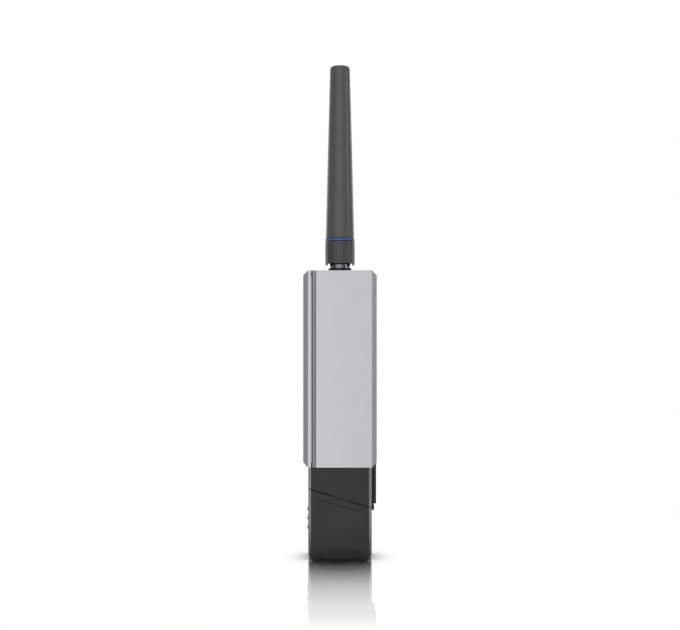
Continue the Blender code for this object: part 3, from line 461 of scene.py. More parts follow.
# ---------------------------------------------------------------- main board and its parts
# The board is 1.2 mm glass-epoxy laminate under a green mask. Two screws hold it on the tray's posts.
# On it stand the screened radio, memory, regulator, crystal, lamp and the aerial's small socket.


def green_board():
    """Green mask over copper tracks, with tinned pads along the tail and gold-tinted vias."""
    coat = Finish("green_board", 0.32, 0.0, Coat_Weight=0.3, Coat_Roughness=0.12)
    pitch = 1.1 * MM
    upright = coat.node("Mapping", None, {"Vector": coat.place, "Rotation": (0, math.pi / 2, 0)})
    tracks = coat.node("TexBrick", {"offset": 0.5, "squash": 1.0},
                       {"Vector": upright, "Scale": 1.0, "Mortar Size": 0.13 * MM, "Mortar Smooth": 0.1,
                        "Brick Width": 4.7 * pitch, "Row Height": pitch}, output=1)
    bends = coat.step(coat.clouds(3.2 * MM), 0.42, 0.46)
    vias = 1 - coat.step(coat.grains(2.3 * MM), 0.12, 0.15)
    masked = coat.blend(tracks * bends, (0.012, 0.105, 0.045), (0.022, 0.185, 0.075))
    weave = coat.clouds(0.25 * MM)
    woven = coat.blend(weave * 0.3, masked, (0.010, 0.075, 0.034))
    coat.feed("Base Color", coat.blend(vias, woven, (0.62, 0.50, 0.26)))
    coat.feed("Roughness", 0.24 + 0.14 * weave)
    return coat.relief(tracks * bends, 0.012 * MM)


PAD_COUNT, PAD_PITCH, PAD_HALF_WIDTH, PAD_LOW, PAD_HIGH = 4, 2.2 * MM, 0.55 * MM, 28.2 * MM, 28.9 * MM
PAD_SUNK, PAD_PROUD = 0.02 * MM, 0.035 * MM

green = green_board()
board = Shape("main_board")
low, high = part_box("main_board")
for side, face in ((1, high.x), (-1, low.x)):
    near, far = sorted((face - side * PAD_SUNK, face + side * PAD_PROUD))
    for i in range(PAD_COUNT):
        middle = (i - (PAD_COUNT - 1) / 2) * PAD_PITCH
        board.block((near, middle - PAD_HALF_WIDTH, PAD_LOW), (far, middle + PAD_HALF_WIDTH, PAD_HIGH))
soften(fit(board.made("board_laminate"), green, "chassis", "board_green", "main_board"), 0.04 * MM)

SCREW_PLACES = ((-4.9 * MM, 45.0 * MM), (4.9 * MM, 56.0 * MM))
SCREW_RADIUS, SCREW_CORE, SCREW_PITCH, SCREW_TIP = 1.0 * MM, 0.78 * MM, 0.7 * MM, 0.6 * MM
HEAD_RADIUS, HEAD_HEIGHT, HEAD_NECK = 1.8 * MM, 1.2 * MM, 0.4 * MM
CROSS_LONG, CROSS_SHORT, CROSS_DEPTH = 0.9 * MM, 0.2 * MM, 0.7 * MM


def thread_shift(pitch, depth, start, end):
    """Cuts a helical thread into the rings of a turned form between two heights.

    A depth below 0 cuts it outward, as in a nut.
    """
    def shift(radius, height, angle):
        if not start <= height <= end:
            return radius
        turn = (height / pitch - angle / (2 * math.pi)) % 1.0
        fade = min(1.0, (height - start) / pitch, (end - height) / pitch)
        return radius - depth * fade * (1 - abs(2 * turn - 1))
    return shift


def even(start, end, gap):
    """Heights from start to end, about a gap apart."""
    count = max(1, round(abs(end - start) / gap))
    return [start + (end - start) * i / count for i in range(count + 1)]


for number, (across, height) in enumerate(SCREW_PLACES, 1):
    low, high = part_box(f"board_screw_{number}")
    place = Matrix.Translation((low.x, across, height)) @ Matrix.Rotation(math.radians(90), 4, "Y")
    length = high.x - low.x
    thread_start, thread_end = HEAD_HEIGHT + HEAD_NECK, length - SCREW_TIP
    profile = [(0, length), (SCREW_RADIUS * 0.5, length - SCREW_TIP / 2)]
    profile += [(SCREW_RADIUS, z) for z in even(thread_end, thread_start, 0.1 * MM)]
    profile += [(SCREW_RADIUS, HEAD_HEIGHT), (HEAD_RADIUS - 0.1 * MM, HEAD_HEIGHT),
                (HEAD_RADIUS, HEAD_HEIGHT - 0.15 * MM), (HEAD_RADIUS, 0.5 * MM),
                (HEAD_RADIUS * 0.8, 0.12 * MM), (HEAD_RADIUS * 0.45, 0.0), (0, 0)]
    winding = thread_shift(SCREW_PITCH, SCREW_RADIUS - SCREW_CORE, thread_start, thread_end)
    screw = Shape().turned(profile, 32, place, winding).made(f"screw_{number}")
    for wide, tall in ((CROSS_LONG, CROSS_SHORT), (CROSS_SHORT, CROSS_LONG)):
        recess = Shape().block((low.x - MM, across - wide, height - tall),
                               (low.x + CROSS_DEPTH, across + wide, height + tall))
        screw = carved(screw, recess.made("recess"))
    fit(screw, steel, "chassis", "bright_steel", f"board_screw_{number}")

CHIP_CORNER, CHIP_STANDOFF = 0.08 * MM, 0.1 * MM
LEAD_HEIGHT, LEAD_HALF_WIDTH, LEAD_LENGTH, LEAD_CORNER = 0.22 * MM, 0.2 * MM, 0.55 * MM, 0.03 * MM
LEAD_OVERLAP = 1.2
DIMPLE_RADIUS, DIMPLE_DEPTH, DIMPLE_INSET = 0.22 * MM, 0.06 * MM, 0.6 * MM


def chip(node, name, leads, across_y):
    """A moulded package on its tinned leads, with a dimple that marks its first lead.

    The leads come out at its sides where across_y is true, and otherwise at its top and bottom.
    """
    low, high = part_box(node)
    outward = 1 if low.x > 0 else -1
    near, far = (low.x, high.x) if outward > 0 else (high.x, low.x)
    inset = LEAD_LENGTH if leads else 0.0
    inset_y, inset_z = (inset, 0.0) if across_y else (0.0, inset)
    base, top = sorted((near + outward * CHIP_STANDOFF, far))
    body_low = Vector((base, low.y + inset_y, low.z + inset_z))
    body_high = Vector((top, high.y - inset_y, high.z - inset_z))
    package = Shape().block(body_low, body_high, CHIP_CORNER).made(name)
    mark = (body_low.y + DIMPLE_INSET, body_low.z + DIMPLE_INSET)
    dimple = Shape().bar(DIMPLE_RADIUS, (far + outward * 0.3 * MM, *mark),
                         (far - outward * DIMPLE_DEPTH, *mark), sides=20)
    fit(carved(package, dimple.made("dimple")), epoxy, "chassis", "chip_black", node)
    if not leads:
        return
    metal = Shape()
    lead_back, lead_front = sorted((near, near + outward * LEAD_HEIGHT))
    for i in range(leads):
        along = (i + 0.5) / leads
        for side in (-1, 1):
            if across_y:
                rim = low.y if side < 0 else high.y
                middle = low.z + (high.z - low.z) * along
            else:
                rim = low.z if side < 0 else high.z
                middle = low.y + (high.y - low.y) * along
            first, last = sorted((rim, rim - side * inset * LEAD_OVERLAP))
            start, end = (first, middle - LEAD_HALF_WIDTH), (last, middle + LEAD_HALF_WIDTH)
            if not across_y:
                start, end = start[::-1], end[::-1]
            metal.block((lead_back, *start), (lead_front, *end), LEAD_CORNER, 1)
    fit(metal.made(name + "_leads"), steel, "chassis", "bright_steel")


chip("radio_chip", "radio_package", 0, True)
chip("power_amplifier", "amplifier_package", 0, True)
chip("flash_chip", "memory_package", 4, True)
chip("voltage_regulator", "regulator_package", 3, False)

crystal = Shape("crystal").made("crystal_can")
soften(fit(crystal, steel, "chassis", "bright_steel", "crystal"), 0.12 * MM, 3)
screen = Shape("shield_frame").made("screen_frame")
soften(fit(screen, steel, "chassis", "bright_steel", "shield_frame"), 0.03 * MM)

VENT_ROWS, VENT_COLUMNS, VENT_RADIUS = 3, 5, 0.5 * MM
VENT_STEP_Y, VENT_STEP_Z = 3.2 * MM, 3.4 * MM

low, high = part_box("shield_lid")
vents = Shape()
for row in range(VENT_ROWS):
    for column in range(VENT_COLUMNS):
        across = (row - 1) * VENT_STEP_Y
        height = (low.z + high.z) / 2 + (column - 2) * VENT_STEP_Z
        vents.bar(VENT_RADIUS, (high.x - 0.6 * MM, across, height), (high.x + MM, across, height), sides=20)
lid_mesh = carved(Shape("shield_lid").made("screen_lid"), vents.made("vents"))
soften(fit(lid_mesh, steel, "chassis", "bright_steel", "shield_lid"), 0.05 * MM)

LAMP_BASE, LENS_INSET_Y, LENS_INSET_Z = 0.4 * MM, 0.1 * MM, 0.25 * MM

lens = Finish("lamp_lens", 0.18, Transmission_Weight=0.35, IOR=1.5)
lens_core = lens.clouds(0.35 * MM)
lens.feed("Base Color", lens.blend(lens_core, (0.22, 0.66, 0.30), (0.42, 0.84, 0.50)))
lens.feed("Roughness", 0.12 + 0.15 * lens_core)
lens.relief(lens.clouds(0.12 * MM), 0.003 * MM)
low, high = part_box("status_led")
lamp = Shape().block((low.x + LAMP_BASE, low.y, low.z), (high.x, high.y, high.z), 0.05 * MM)
lamp.block((low.x, low.y + LENS_INSET_Y, low.z + LENS_INSET_Z),
           (low.x + LAMP_BASE + 0.05 * MM, high.y - LENS_INSET_Y, high.z - LENS_INSET_Z), 0.14 * MM, 3)
fit(lamp.made("lamp"), lens, "chassis", "lamp_lens", "status_led")

aerial_socket = Shape("coax_socket").made("aerial_socket")
soften(fit(aerial_socket, gold, "chassis", "gold_plate", "coax_socket"), 0.05 * MM)
aerial_plug = Shape("coax_plug").made("aerial_plug")
soften(fit(aerial_plug, gold, "chassis", "gold_plate", "coax_plug"), 0.06 * MM)


def cable_jacket():
    """Grey extruded jacket with faint lines along it."""
    coat = Finish("cable_jacket", 0.45)
    lines = coat.clouds(0.12 * MM, 3.0, coat.stretched(1.0, 1.0, 0.15))
    coat.feed("Base Color", coat.blend(lines, (0.20, 0.20, 0.21), (0.27, 0.27, 0.28)))
    coat.feed("Roughness", 0.36 + 0.18 * lines)
    return coat.relief(lines, 0.003 * MM)


lead = Shape("coax_pigtail").made("aerial_lead", 60)
fit(lead, cable_jacket(), "chassis", "cable_jacket", "coax_pigtail")

# ---------------------------------------------------------------- antenna jack
# The jack is turned from brass and plated in dark nickel: a flange on the housing, a smooth shoulder,
# and a 1/4-36 thread. A hexagon nut and a spring washer clamp it from inside; a PTFE bush holds its pin.

THREAD_RADIUS, THREAD_DEPTH, THREAD_PITCH = 3.175 * MM, 0.38 * MM, 0.70556 * MM
THREAD_CHAMFER = 0.25 * MM
JACK_TOP, SHOULDER_TOP, FLANGE_TOP, FLANGE_LOW = 111.2 * MM, 106.2 * MM, 103.75 * MM, 102.95 * MM
SHOULDER_RADIUS, FLANGE_RADIUS = 3.65 * MM, 4.2 * MM
SHANK_TOP, SHANK_LOW = 102.6 * MM, 95.5 * MM
SPIGOT_RADIUS, SPIGOT_LOW = 2.2 * MM, 93.5 * MM
BUSH_BORE, BUSH_LOW, BUSH_TOP, LEAD_BORE, MOUTH_BORE = 2.1 * MM, 96.5 * MM, 109.2 * MM, 0.9 * MM, 2.325 * MM


def dark_nickel():
    """Polished dark nickel with faint turning lines round it, nearly black from the flange down."""
    coat = Finish("dark_nickel", 0.12, 1.0)
    lines = coat.clouds(0.05 * MM, 2.0, coat.stretched(0.02, 0.02, 1.0))
    stain = coat.clouds(1.4 * MM, 3.0)
    bright = coat.blend(lines * 0.5 + stain * 0.5, (0.21, 0.21, 0.225), (0.30, 0.30, 0.31))
    height = coat.node("SeparateXYZ", None, {0: coat.place}, output=2)
    above_flange = coat.step(height, FLANGE_TOP - 0.03 * MM, FLANGE_TOP + 0.07 * MM)
    coat.feed("Base Color", coat.blend(above_flange, (0.035, 0.035, 0.037), bright))
    coat.feed("Roughness", 0.07 + 0.05 * lines + 0.07 * stain)
    return coat.relief(lines, 0.0004 * MM)


nickel = dark_nickel()
mouth_thread = (SHOULDER_TOP + 0.1 * MM, JACK_TOP - 0.05 * MM)
shank_thread = (SHANK_LOW + THREAD_CHAMFER, SHANK_TOP)
profile = [(THREAD_RADIUS - THREAD_CHAMFER, JACK_TOP)]
profile += [(THREAD_RADIUS, z) for z in even(JACK_TOP - THREAD_CHAMFER, mouth_thread[0], 0.075 * MM)]
profile += [(THREAD_RADIUS - THREAD_DEPTH, SHOULDER_TOP), (SHOULDER_RADIUS - 0.25 * MM, SHOULDER_TOP),
            (SHOULDER_RADIUS - 0.08 * MM, SHOULDER_TOP - 0.05 * MM),
            (SHOULDER_RADIUS, SHOULDER_TOP - 0.22 * MM), (SHOULDER_RADIUS, FLANGE_TOP + 0.08 * MM),
            (SHOULDER_RADIUS + 0.08 * MM, FLANGE_TOP), (FLANGE_RADIUS - 0.1 * MM, FLANGE_TOP),
            (FLANGE_RADIUS - 0.03 * MM, FLANGE_TOP - 0.03 * MM), (FLANGE_RADIUS, FLANGE_TOP - 0.1 * MM),
            (FLANGE_RADIUS, FLANGE_LOW + 0.1 * MM), (FLANGE_RADIUS - 0.03 * MM, FLANGE_LOW + 0.03 * MM),
            (FLANGE_RADIUS - 0.1 * MM, FLANGE_LOW), (THREAD_RADIUS - 0.3 * MM, FLANGE_LOW)]
profile += [(THREAD_RADIUS, z) for z in even(shank_thread[1], shank_thread[0], 0.12 * MM)]
profile += [(THREAD_RADIUS - THREAD_CHAMFER, SHANK_LOW), (SPIGOT_RADIUS, SHANK_LOW),
            (SPIGOT_RADIUS, SPIGOT_LOW + 0.1 * MM), (SPIGOT_RADIUS - 0.1 * MM, SPIGOT_LOW),
            (LEAD_BORE, SPIGOT_LOW), (LEAD_BORE, BUSH_LOW), (BUSH_BORE, BUSH_LOW), (BUSH_BORE, BUSH_TOP),
            (MOUTH_BORE, BUSH_TOP + 0.1 * MM), (MOUTH_BORE, JACK_TOP - 0.1 * MM),
            (MOUTH_BORE + 0.095 * MM, JACK_TOP)]


def jack_shift(radius, height, angle):
    """The screw thread runs down the outside of the mouth, and again down the shank."""
    if abs(radius - THREAD_RADIUS) > 0.01 * MM:
        return radius
    mouth = thread_shift(THREAD_PITCH, THREAD_DEPTH, *mouth_thread)
    shank = thread_shift(THREAD_PITCH, THREAD_DEPTH, *shank_thread)
    return mouth(shank(radius, height, angle), height, angle)


jack = Shape().turned(profile, 96, shift=jack_shift).made("jack_turning", 40)
fit(jack, nickel, "chassis", "dark_nickel", "jack_body")


def waxy_ptfe():
    """PTFE: milky, waxy, with faint turning lines."""
    coat = Finish("white_ptfe", 0.38, 0.0, Subsurface_Weight=0.15, Subsurface_Scale=0.8 * MM)
    lines = coat.clouds(0.1 * MM, 2.0, coat.stretched(0.05, 0.05, 1.0))
    coat.feed("Base Color", coat.blend(lines, (0.76, 0.76, 0.745), (0.84, 0.84, 0.83)))
    coat.feed("Roughness", 0.32 + 0.12 * lines)
    return coat.relief(lines, 0.002 * MM)


ptfe = waxy_ptfe()


def bush(node, name, outer, inner, body, finish, slot, edge=0.12 * MM, sides=64):
    """A plain turned tube with eased rims, as high as its solid."""
    low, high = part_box(node)
    profile = [(outer - edge, high.z), (outer, high.z - edge),
               (outer, low.z + edge), (outer - edge, low.z),
               (inner + edge, low.z), (inner, low.z + edge),
               (inner, high.z - edge), (inner + edge, high.z)]
    return fit(Shape().turned(profile, sides).made(name), finish, body, slot, node)


bush("jack_insulator", "jack_bush", 1.95 * MM, 0.6 * MM, "chassis", ptfe, "white_ptfe")
low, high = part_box("jack_pin")
pin = Shape().bar(0.45 * MM, (0, 0, low.z), (0, 0, high.z), 0.2 * MM, 40)
fit(pin.made("jack_pin_turning"), gold, "chassis", "gold_plate", "jack_pin")

NUT_CORNER_RADIUS, NUT_TOP_RADIUS, NUT_HALF_FLATS, NUT_BORE = 4.62 * MM, 4.1 * MM, 4.0 * MM, 3.325 * MM
NUT_CHAMFER = 0.3 * MM

low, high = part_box("jack_nut")
blank = Shape().turned([(0, high.z), (NUT_TOP_RADIUS, high.z), (NUT_CORNER_RADIUS, high.z - NUT_CHAMFER),
                        (NUT_CORNER_RADIUS, low.z + NUT_CHAMFER), (NUT_TOP_RADIUS, low.z), (0, low.z)], 96)
nut = blank.made("clamp_nut")
for i in range(6):
    turn = Matrix.Rotation(math.radians(60 * i), 4, "Z")
    flat = Shape().block((NUT_HALF_FLATS, -5 * MM, low.z - MM), (6 * MM, 5 * MM, high.z + MM))
    bmesh.ops.transform(flat.work, matrix=turn, verts=flat.work.verts)
    nut = carved(nut, flat.made("flat"))
bore = Shape().bar(NUT_BORE, (0, 0, low.z - MM), (0, 0, high.z + MM), sides=64)
nut = carved(nut, bore.made("bore"))
soften(fit(nut, steel, "chassis", "bright_steel", "jack_nut"), 0.05 * MM)

WASHER_RADIUS, WASHER_BORE, WASHER_SPLIT = 4.4 * MM, 3.375 * MM, 0.4 * MM

low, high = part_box("lock_washer")
profile = [(WASHER_RADIUS, low.z + 0.04 * MM), (WASHER_RADIUS - 0.04 * MM, low.z),
           (WASHER_BORE + 0.075 * MM, low.z), (WASHER_BORE, low.z + 0.05 * MM),
           (WASHER_BORE, high.z - 0.05 * MM), (WASHER_BORE + 0.075 * MM, high.z),
           (WASHER_RADIUS - 0.04 * MM, high.z), (WASHER_RADIUS, high.z - 0.04 * MM)]
washer = Shape().turned(profile, 96).made("spring_washer")
split = Shape().block((0, -WASHER_SPLIT / 2, low.z - MM), (6 * MM, WASHER_SPLIT / 2, high.z + MM))
fit(carved(washer, split.made("split")), steel, "chassis", "bright_steel", "lock_washer")

# ---------------------------------------------------------------- coupling sleeve and nut
# The grip is a ribbed black plastic sleeve, pressed over a threaded metal nut. Its mouth is slotted
# straight across, so that two thin walls stand down on either side of the jack.

RIB_COUNT, RIB_DEPTH = 32, 0.07 * MM
SLEEVE_RADIUS, SLEEVE_BORE, SLEEVE_NECK, SLEEVE_SEAT = 5.3 * MM, 4.35 * MM, 2.6 * MM, 112.9 * MM
SLOT_HALF_WIDTH, SLOT_HEIGHT = 4.4 * MM, 0.85 * MM


def antenna_black(name, pale):
    """Dark grey antenna plastic of the given paleness: satin, with a long faint flow grain."""
    coat = Finish(name, 0.3, 0.0, IOR=1.5)
    grain = coat.clouds(0.14 * MM, 3.0)
    flow = coat.clouds(2.5 * MM, 3.0, coat.stretched(1.0, 1.0, 0.12))
    base = coat.blend(flow, (pale * 0.94, pale * 0.94, pale * 0.95), (pale * 1.06, pale * 1.06, pale * 1.07))
    speckled = coat.blend(coat.step(grain, 0.54, 0.74) * 0.4, base, (pale * 1.35, pale * 1.35, pale * 1.36))
    coat.feed("Base Color", speckled)
    coat.feed("Roughness", 0.22 + 0.1 * grain)
    return coat.relief(grain, 0.003 * MM)


sleeve_black = antenna_black("sleeve_black", 0.072)
low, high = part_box("knurled_sleeve")
profile = [(SLEEVE_RADIUS - 0.2 * MM, high.z), (SLEEVE_RADIUS - 0.06 * MM, high.z - 0.05 * MM),
           (SLEEVE_RADIUS, high.z - 0.2 * MM), (SLEEVE_RADIUS, high.z - 0.6 * MM),
           (SLEEVE_RADIUS, high.z - 0.9 * MM), (SLEEVE_RADIUS, 107.2 * MM), (SLEEVE_RADIUS, 106.9 * MM),
           (SLEEVE_RADIUS, low.z + 0.7 * MM), (SLEEVE_RADIUS - 0.2 * MM, low.z + 0.25 * MM),
           (SLEEVE_RADIUS - 0.6 * MM, low.z), (SLEEVE_BORE, low.z), (SLEEVE_BORE, SLEEVE_SEAT),
           (SLEEVE_NECK, SLEEVE_SEAT), (SLEEVE_NECK, high.z)]


def rib_shift(radius, height, angle):
    """Shallow grooves between the ribs, from the mouth nearly to the top."""
    if radius < SLEEVE_RADIUS or height > high.z - 0.7 * MM or height < low.z + 0.6 * MM:
        return radius
    return radius - RIB_DEPTH * (0.5 - 0.5 * math.cos(RIB_COUNT * angle)) ** 2


sleeve = Shape().turned(profile, RIB_COUNT * 8, shift=rib_shift).made("grip_sleeve", 40)
slot = Shape().block((-SLOT_HALF_WIDTH, -8 * MM, low.z - MM), (SLOT_HALF_WIDTH, 8 * MM, low.z + SLOT_HEIGHT))
fit(carved(sleeve, slot.made("mouth")), sleeve_black, "sleeve", "antenna_black", "knurled_sleeve")

# The threaded rows stand a hair wide of the bore, which tells them from its plain rims.
UNION_RADIUS, UNION_BORE, UNION_THREAD = 4.15 * MM, 3.325 * MM, 3.326 * MM
UNION_THREAD_TOP, UNION_SEAT = 111.9 * MM, 112.15 * MM

low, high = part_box("coupling_nut")
union_thread = (low.z + 0.3 * MM, UNION_THREAD_TOP)
profile = [(UNION_RADIUS - 0.15 * MM, high.z), (UNION_RADIUS, high.z - 0.15 * MM),
           (UNION_RADIUS, low.z + 0.25 * MM), (UNION_RADIUS - 0.25 * MM, low.z),
           (UNION_BORE + 0.225 * MM, low.z), (UNION_BORE, low.z + 0.2 * MM)]
profile += [(UNION_THREAD, z) for z in even(*union_thread, 0.09 * MM)]
profile += [(UNION_BORE, UNION_SEAT), (SLEEVE_NECK, UNION_SEAT), (SLEEVE_NECK, high.z)]


def union_shift(radius, height, angle):
    """The nut's inner thread, cut outward from its bore."""
    if abs(radius - UNION_THREAD) > 0.0004 * MM:
        return radius
    return thread_shift(THREAD_PITCH, -THREAD_DEPTH, *union_thread)(radius, height, angle)


union_nut = Shape().turned(profile, 96, shift=union_shift).made("union_nut", 40)
fit(union_nut, steel, "sleeve", "bright_steel", "coupling_nut")

# ---------------------------------------------------------------- whip antenna
# The whip is a hollow tapered moulding, closed by a rounded tip. Inside, a turned plug body and its bush
# carry the contact, and a brass rod stands in a brass choke tube. A blue ring marks the joint.

WHIP_BASE, WHIP_TIP, TIP_ROUNDING, TIP_STEPS = 5.1 * MM, 3.6 * MM, 1.1 * MM, 10
PLUG_BORE, CHOKE_BORE, ROD_BORE = 2.6 * MM, 2.35 * MM, 1.5 * MM
PLUG_BORE_TOP, CHOKE_BORE_TOP, ROD_BORE_TOP = 121.0 * MM, 147.0 * MM, 173.0 * MM

low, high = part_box("antenna_whip")
profile = [(0, high.z)]
for i in range(TIP_STEPS + 1):
    around = math.pi / 2 * i / TIP_STEPS
    profile.append((WHIP_TIP - TIP_ROUNDING * (1 - math.sin(around)),
                    high.z - TIP_ROUNDING * (1 - math.cos(around))))
profile += [(WHIP_BASE, low.z + 0.3 * MM), (WHIP_BASE - 0.06 * MM, low.z + 0.08 * MM),
            (WHIP_BASE - 0.2 * MM, low.z), (PLUG_BORE, low.z), (PLUG_BORE, PLUG_BORE_TOP),
            (CHOKE_BORE, PLUG_BORE_TOP + 0.2 * MM), (CHOKE_BORE, CHOKE_BORE_TOP),
            (ROD_BORE, CHOKE_BORE_TOP + 2.0 * MM), (ROD_BORE, ROD_BORE_TOP), (0, ROD_BORE_TOP + 0.5 * MM)]
whip = Shape().turned(profile, 128).made("whip_cover", 40)
fit(whip, antenna_black("whip_black", 0.11), "antenna", "antenna_black", "antenna_whip")


def blue_ring():
    """Blue plastic, smooth and slightly mottled."""
    coat = Finish("ring_blue", 0.36, 0.0, IOR=1.5)
    mottle = coat.clouds(0.7 * MM, 3.0)
    coat.feed("Base Color", coat.blend(mottle, (0.060, 0.120, 0.345), (0.072, 0.142, 0.390)))
    coat.feed("Roughness", 0.30 + 0.12 * mottle)
    return coat.relief(coat.clouds(0.2 * MM, 3.0), 0.003 * MM)


blue = blue_ring()
bush("antenna_ring", "marker_ring", 5.27 * MM, 2.75 * MM, "antenna", blue, "ring_blue", sides=128)

PLUG_RADIUS, PLUG_NOSE, PLUG_HOLE = 2.35 * MM, 2.2 * MM, 1.7 * MM
GROOVE_LOW, GROOVE_TOP = 114.8 * MM, 115.6 * MM
SHOE_RADIUS, SHOE_LOW, SHOE_TOP = 3.15 * MM, 111.35 * MM, 112.0 * MM

low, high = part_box("antenna_plug_body")
profile = [(PLUG_RADIUS - 0.1 * MM, high.z), (PLUG_RADIUS, high.z - 0.1 * MM), (PLUG_RADIUS, GROOVE_TOP),
           (PLUG_NOSE, GROOVE_TOP - 0.1 * MM), (PLUG_NOSE, GROOVE_LOW + 0.1 * MM), (PLUG_RADIUS, GROOVE_LOW),
           (PLUG_RADIUS, SHOE_TOP), (SHOE_RADIUS - 0.1 * MM, SHOE_TOP), (SHOE_RADIUS, SHOE_TOP - 0.1 * MM),
           (SHOE_RADIUS, SHOE_LOW + 0.1 * MM), (SHOE_RADIUS - 0.1 * MM, SHOE_LOW), (PLUG_NOSE, SHOE_LOW),
           (PLUG_NOSE, low.z + 0.15 * MM), (PLUG_NOSE - 0.1 * MM, low.z), (PLUG_HOLE, low.z),
           (PLUG_HOLE, high.z)]
plug_body = Shape().turned(profile, 72).made("plug_turning")
fit(plug_body, steel, "antenna", "bright_steel", "antenna_plug_body")
bush("antenna_insulator", "antenna_bush", 1.55 * MM, 0.77 * MM, "antenna", ptfe, "white_ptfe")

CONTACT_RADIUS, CONTACT_BORE, CONTACT_BORE_TOP = 0.62 * MM, 0.51 * MM, 112.4 * MM
SLIT_HALF_WIDTH, SLIT_TOP = 0.05 * MM, 111.9 * MM

low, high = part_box("antenna_contact")
profile = [(0, high.z), (CONTACT_RADIUS - 0.06 * MM, high.z), (CONTACT_RADIUS, high.z - 0.06 * MM),
           (CONTACT_RADIUS, low.z + 0.08 * MM), (CONTACT_RADIUS - 0.06 * MM, low.z),
           (CONTACT_BORE + 0.02 * MM, low.z), (CONTACT_BORE, low.z + 0.05 * MM),
           (CONTACT_BORE, CONTACT_BORE_TOP), (0, CONTACT_BORE_TOP + 0.1 * MM)]
spring = Shape().turned(profile, 48).made("contact_turning")
for wide, deep in ((SLIT_HALF_WIDTH, MM), (MM, SLIT_HALF_WIDTH)):
    slit = Shape().block((-wide, -deep, low.z - MM), (wide, deep, SLIT_TOP))
    spring = carved(spring, slit.made("slit"))
fit(spring, gold, "antenna", "gold_plate", "antenna_contact")


def brass_tube():
    """Drawn brass, a little tarnished, with lines along it."""
    coat = Finish("brass_tube", 0.26, 1.0)
    lines = coat.clouds(0.08 * MM, 2.0, coat.stretched(1.0, 1.0, 0.02))
    tarnish = coat.step(coat.clouds(2.2 * MM, 4.0), 0.45, 0.7)
    drawn = coat.blend(lines, (0.68, 0.49, 0.20), (0.76, 0.58, 0.27))
    coat.feed("Base Color", coat.blend(tarnish * 0.6, drawn, (0.42, 0.29, 0.13)))
    coat.feed("Roughness", 0.2 + 0.1 * lines + 0.14 * tarnish)
    return coat.relief(lines, 0.001 * MM)


brass = brass_tube()
low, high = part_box("antenna_rod")
rod = Shape().bar(0.6 * MM, (0, 0, low.z), (0, 0, high.z), 0.12 * MM, 40)
fit(rod.made("radiator_rod"), brass, "antenna", "brass_tube", "antenna_rod")
bush("choke_sleeve", "choke_tube", 2.1 * MM, 1.75 * MM, "antenna", brass, "brass_tube", 0.1 * MM)

# ---------------------------------------------------------------- table, light and camera
# A white glossy table that glows, with a contact shadow painted round the foot, and whose soft reflection of
# the adapter fades outward, in a white room. The light comes from upright soft panels round the object:
# narrow bright ones and broad dim ones.

FLOOR_RADIUS, FLOOR_THICKNESS = 1.5, 0.01
# A contact shadow is painted round the foot: how far it reaches, and how dark it is at its darkest.
PAINTED_SHADOW_REACH, PAINTED_SHADOW_DARKEST = 14 * MM, 0.3
# For the object the table glows dimmer near the foot, a painted shadow, which gives way between these two
# reaches to the panels' painted light.
FOOT_PAINTED_SHADE_LEVEL, FOOT_PAINTED_SHADE_START, FOOT_PAINTED_SHADE_END = 0.75, 10 * MM, 90 * MM

# How strong the table's reflection is, from the foot (0) out to the reach (1)
MIRROR_REACH = 0.105
MIRROR_STOPS = ((0.095, 1.0), (0.143, 0.97), (0.238, 0.85), (0.333, 0.705), (0.419, 0.57), (0.5, 0.46),
                (0.581, 0.38), (0.657, 0.31), (0.729, 0.24), (0.80, 0.21), (0.867, 0.16), (0.933, 0.046),
                (0.962, 0.0))

# The panels' brightness, from behind the object (0), by its left (0.25), front (0.5) and right (0.75)
STUDIO_POWER = 5.0
STUDIO_STOPS = ((0.0, 0.14), (0.085, 0.15), (0.10, 0.36), (0.125, 0.36), (0.16, 0.055), (0.235, 0.072),
                (0.27, 0.052), (0.30, 0.027), (0.333, 0.038), (0.37, 0.09), (0.42, 0.20), (0.49, 0.22),
                (0.56, 0.10), (0.63, 0.05), (0.708, 0.05), (0.712, 1.0), (0.722, 1.0), (0.726, 0.05),
                (0.84, 0.055), (0.875, 0.34), (0.90, 0.34), (0.915, 0.15), (1.0, 0.14))


def studio_panels(network, direction):
    """The studio's brightness, by the bearing of a direction or a place round the object."""
    east = network.node("SeparateXYZ", None, {0: direction}, output=0)
    north = network.node("SeparateXYZ", None, {0: direction}, output=1)
    bearing = east.math("ARCTAN2", east, 0 - north) * (0.5 / math.pi) + 0.5
    return network.node("ValToRGB", {"stops": STUDIO_STOPS}, {"Fac": bearing}) * STUDIO_POWER


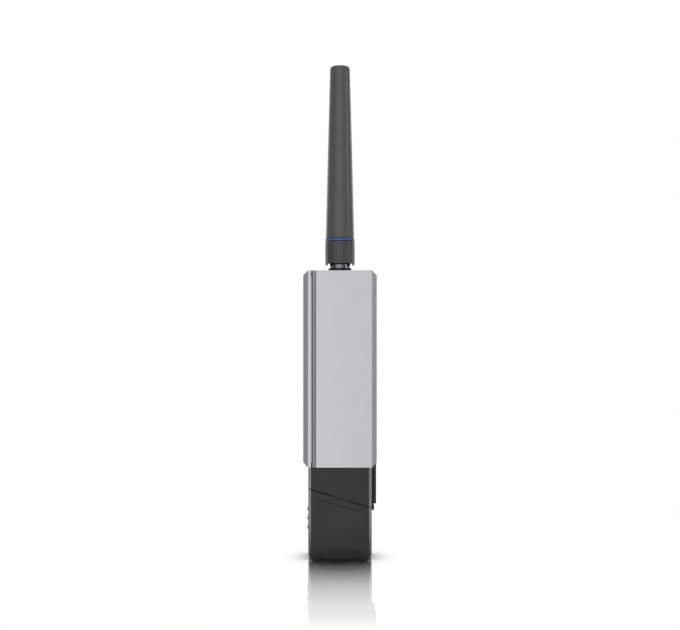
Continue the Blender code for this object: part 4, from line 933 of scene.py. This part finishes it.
def table_top():
    """White and glowing evenly where seen directly, darkened close to the foot by a painted contact shadow.
    For the object it glows with the panels' painted light and dimmer near the foot, and its reflection fades
    with distance and takes the painted shadow too.
    """
    coat = Finish("table_top", 0.9, 0.0, Specular_IOR_Level=0.0, Base_Color=(0, 0, 0, 1),
                  Emission_Strength=1.0)
    around = coat.node("VectorMath", {"operation": "LENGTH"}, {0: coat.place}, output="Value")
    fade = coat.node("ValToRGB", {"stops": MIRROR_STOPS}, {"Fac": around * (1 / MIRROR_REACH)})
    # Ambient occlusion paints the contact shadow into the table's white and into its reflection.
    painted_shadow_occlusion = coat.node("AmbientOcclusion", {"samples": 16}, {"Distance": PAINTED_SHADOW_REACH}, output="AO")
    painted_contact_shadow = coat.step(painted_shadow_occlusion, 0.3, 0.95) * (1 - PAINTED_SHADOW_DARKEST) + PAINTED_SHADOW_DARKEST
    seen = coat.node("LightPath", output="Is Camera Ray")
    # Unseen by the camera, the table glows with the panels' brightness painted on by bearing, and dimmer
    # near the foot as a painted shadow.
    away = coat.step(around, FOOT_PAINTED_SHADE_START, FOOT_PAINTED_SHADE_END)
    painted_panel_light = away * studio_panels(coat, coat.place) + (1 - away) * FOOT_PAINTED_SHADE_LEVEL
    painted_glow_and_shadow = (seen + (1 - seen) * painted_panel_light) * painted_contact_shadow
    coat.feed("Emission Color", coat.blend(painted_glow_and_shadow * 0.5, (0.0, 0.0, 0.0), (2.0, 2.0, 2.0)))
    mirror = coat.node("BsdfGlossy", None, {"Roughness": 0.0, "Color": (1, 1, 1, 1)})
    # This black darkens the reflection where the contact shadow is painted.
    dark = coat.node("BsdfDiffuse", None, {"Color": (0, 0, 0, 1)})
    mirror_under_painted_shadow = coat.node("MixShader", None, {0: painted_contact_shadow, 1: dark, 2: mirror})
    white = Signal(coat, coat.shader.outputs[0])
    surface = coat.node("MixShader", None, {0: fade * seen, 1: white, 2: mirror_under_painted_shadow})
    coat.tree.links.new(surface.socket, coat.tree.nodes["Material Output"].inputs["Surface"])
    return coat


table_mesh = Shape().turned([(0, 0.0), (FLOOR_RADIUS, 0.0), (FLOOR_RADIUS, -FLOOR_THICKNESS),
                             (0, -FLOOR_THICKNESS)], 96).made("table")
table_mesh.materials.append(table_top().material)
table = bpy.data.objects.new("table", table_mesh)
bpy.context.scene.collection.objects.link(table)


def studio_light():
    """White where it is seen directly, and a studio of soft panels where it lights the object."""
    world = bpy.data.worlds.new("studio")
    bpy.context.scene.world = world
    world.use_nodes = True
    room = Network(world.node_tree)
    direction = room.node("TexCoord", output="Generated")
    panels = studio_panels(room, direction)
    seen = panels.math("MAXIMUM", room.node("LightPath", output="Is Camera Ray"),
                       room.node("LightPath", output="Is Singular Ray"))
    light = seen + panels * (1 - seen)
    room.tree.links.new(light.socket, room.tree.nodes["Background"].inputs["Color"])


studio_light()

CAMERA_DISTANCE, CAMERA_HEIGHT = 0.443, 0.08696
CAMERA_LENS, CAMERA_SENSOR = 65.15, 36.0

camera_data = bpy.data.cameras.new("camera")
camera_data.sensor_width = CAMERA_SENSOR
camera_data.lens = CAMERA_LENS
camera_data.clip_start = 0.01
camera_data.clip_end = 20.0
camera = bpy.data.objects.new("camera", camera_data)
camera.location = (0.0, -CAMERA_DISTANCE, CAMERA_HEIGHT)
camera.rotation_euler = (math.radians(90), 0.0, 0.0)
bpy.context.scene.collection.objects.link(camera)
bpy.context.scene.camera = camera
bpy.context.scene.view_settings.view_transform = "Standard"
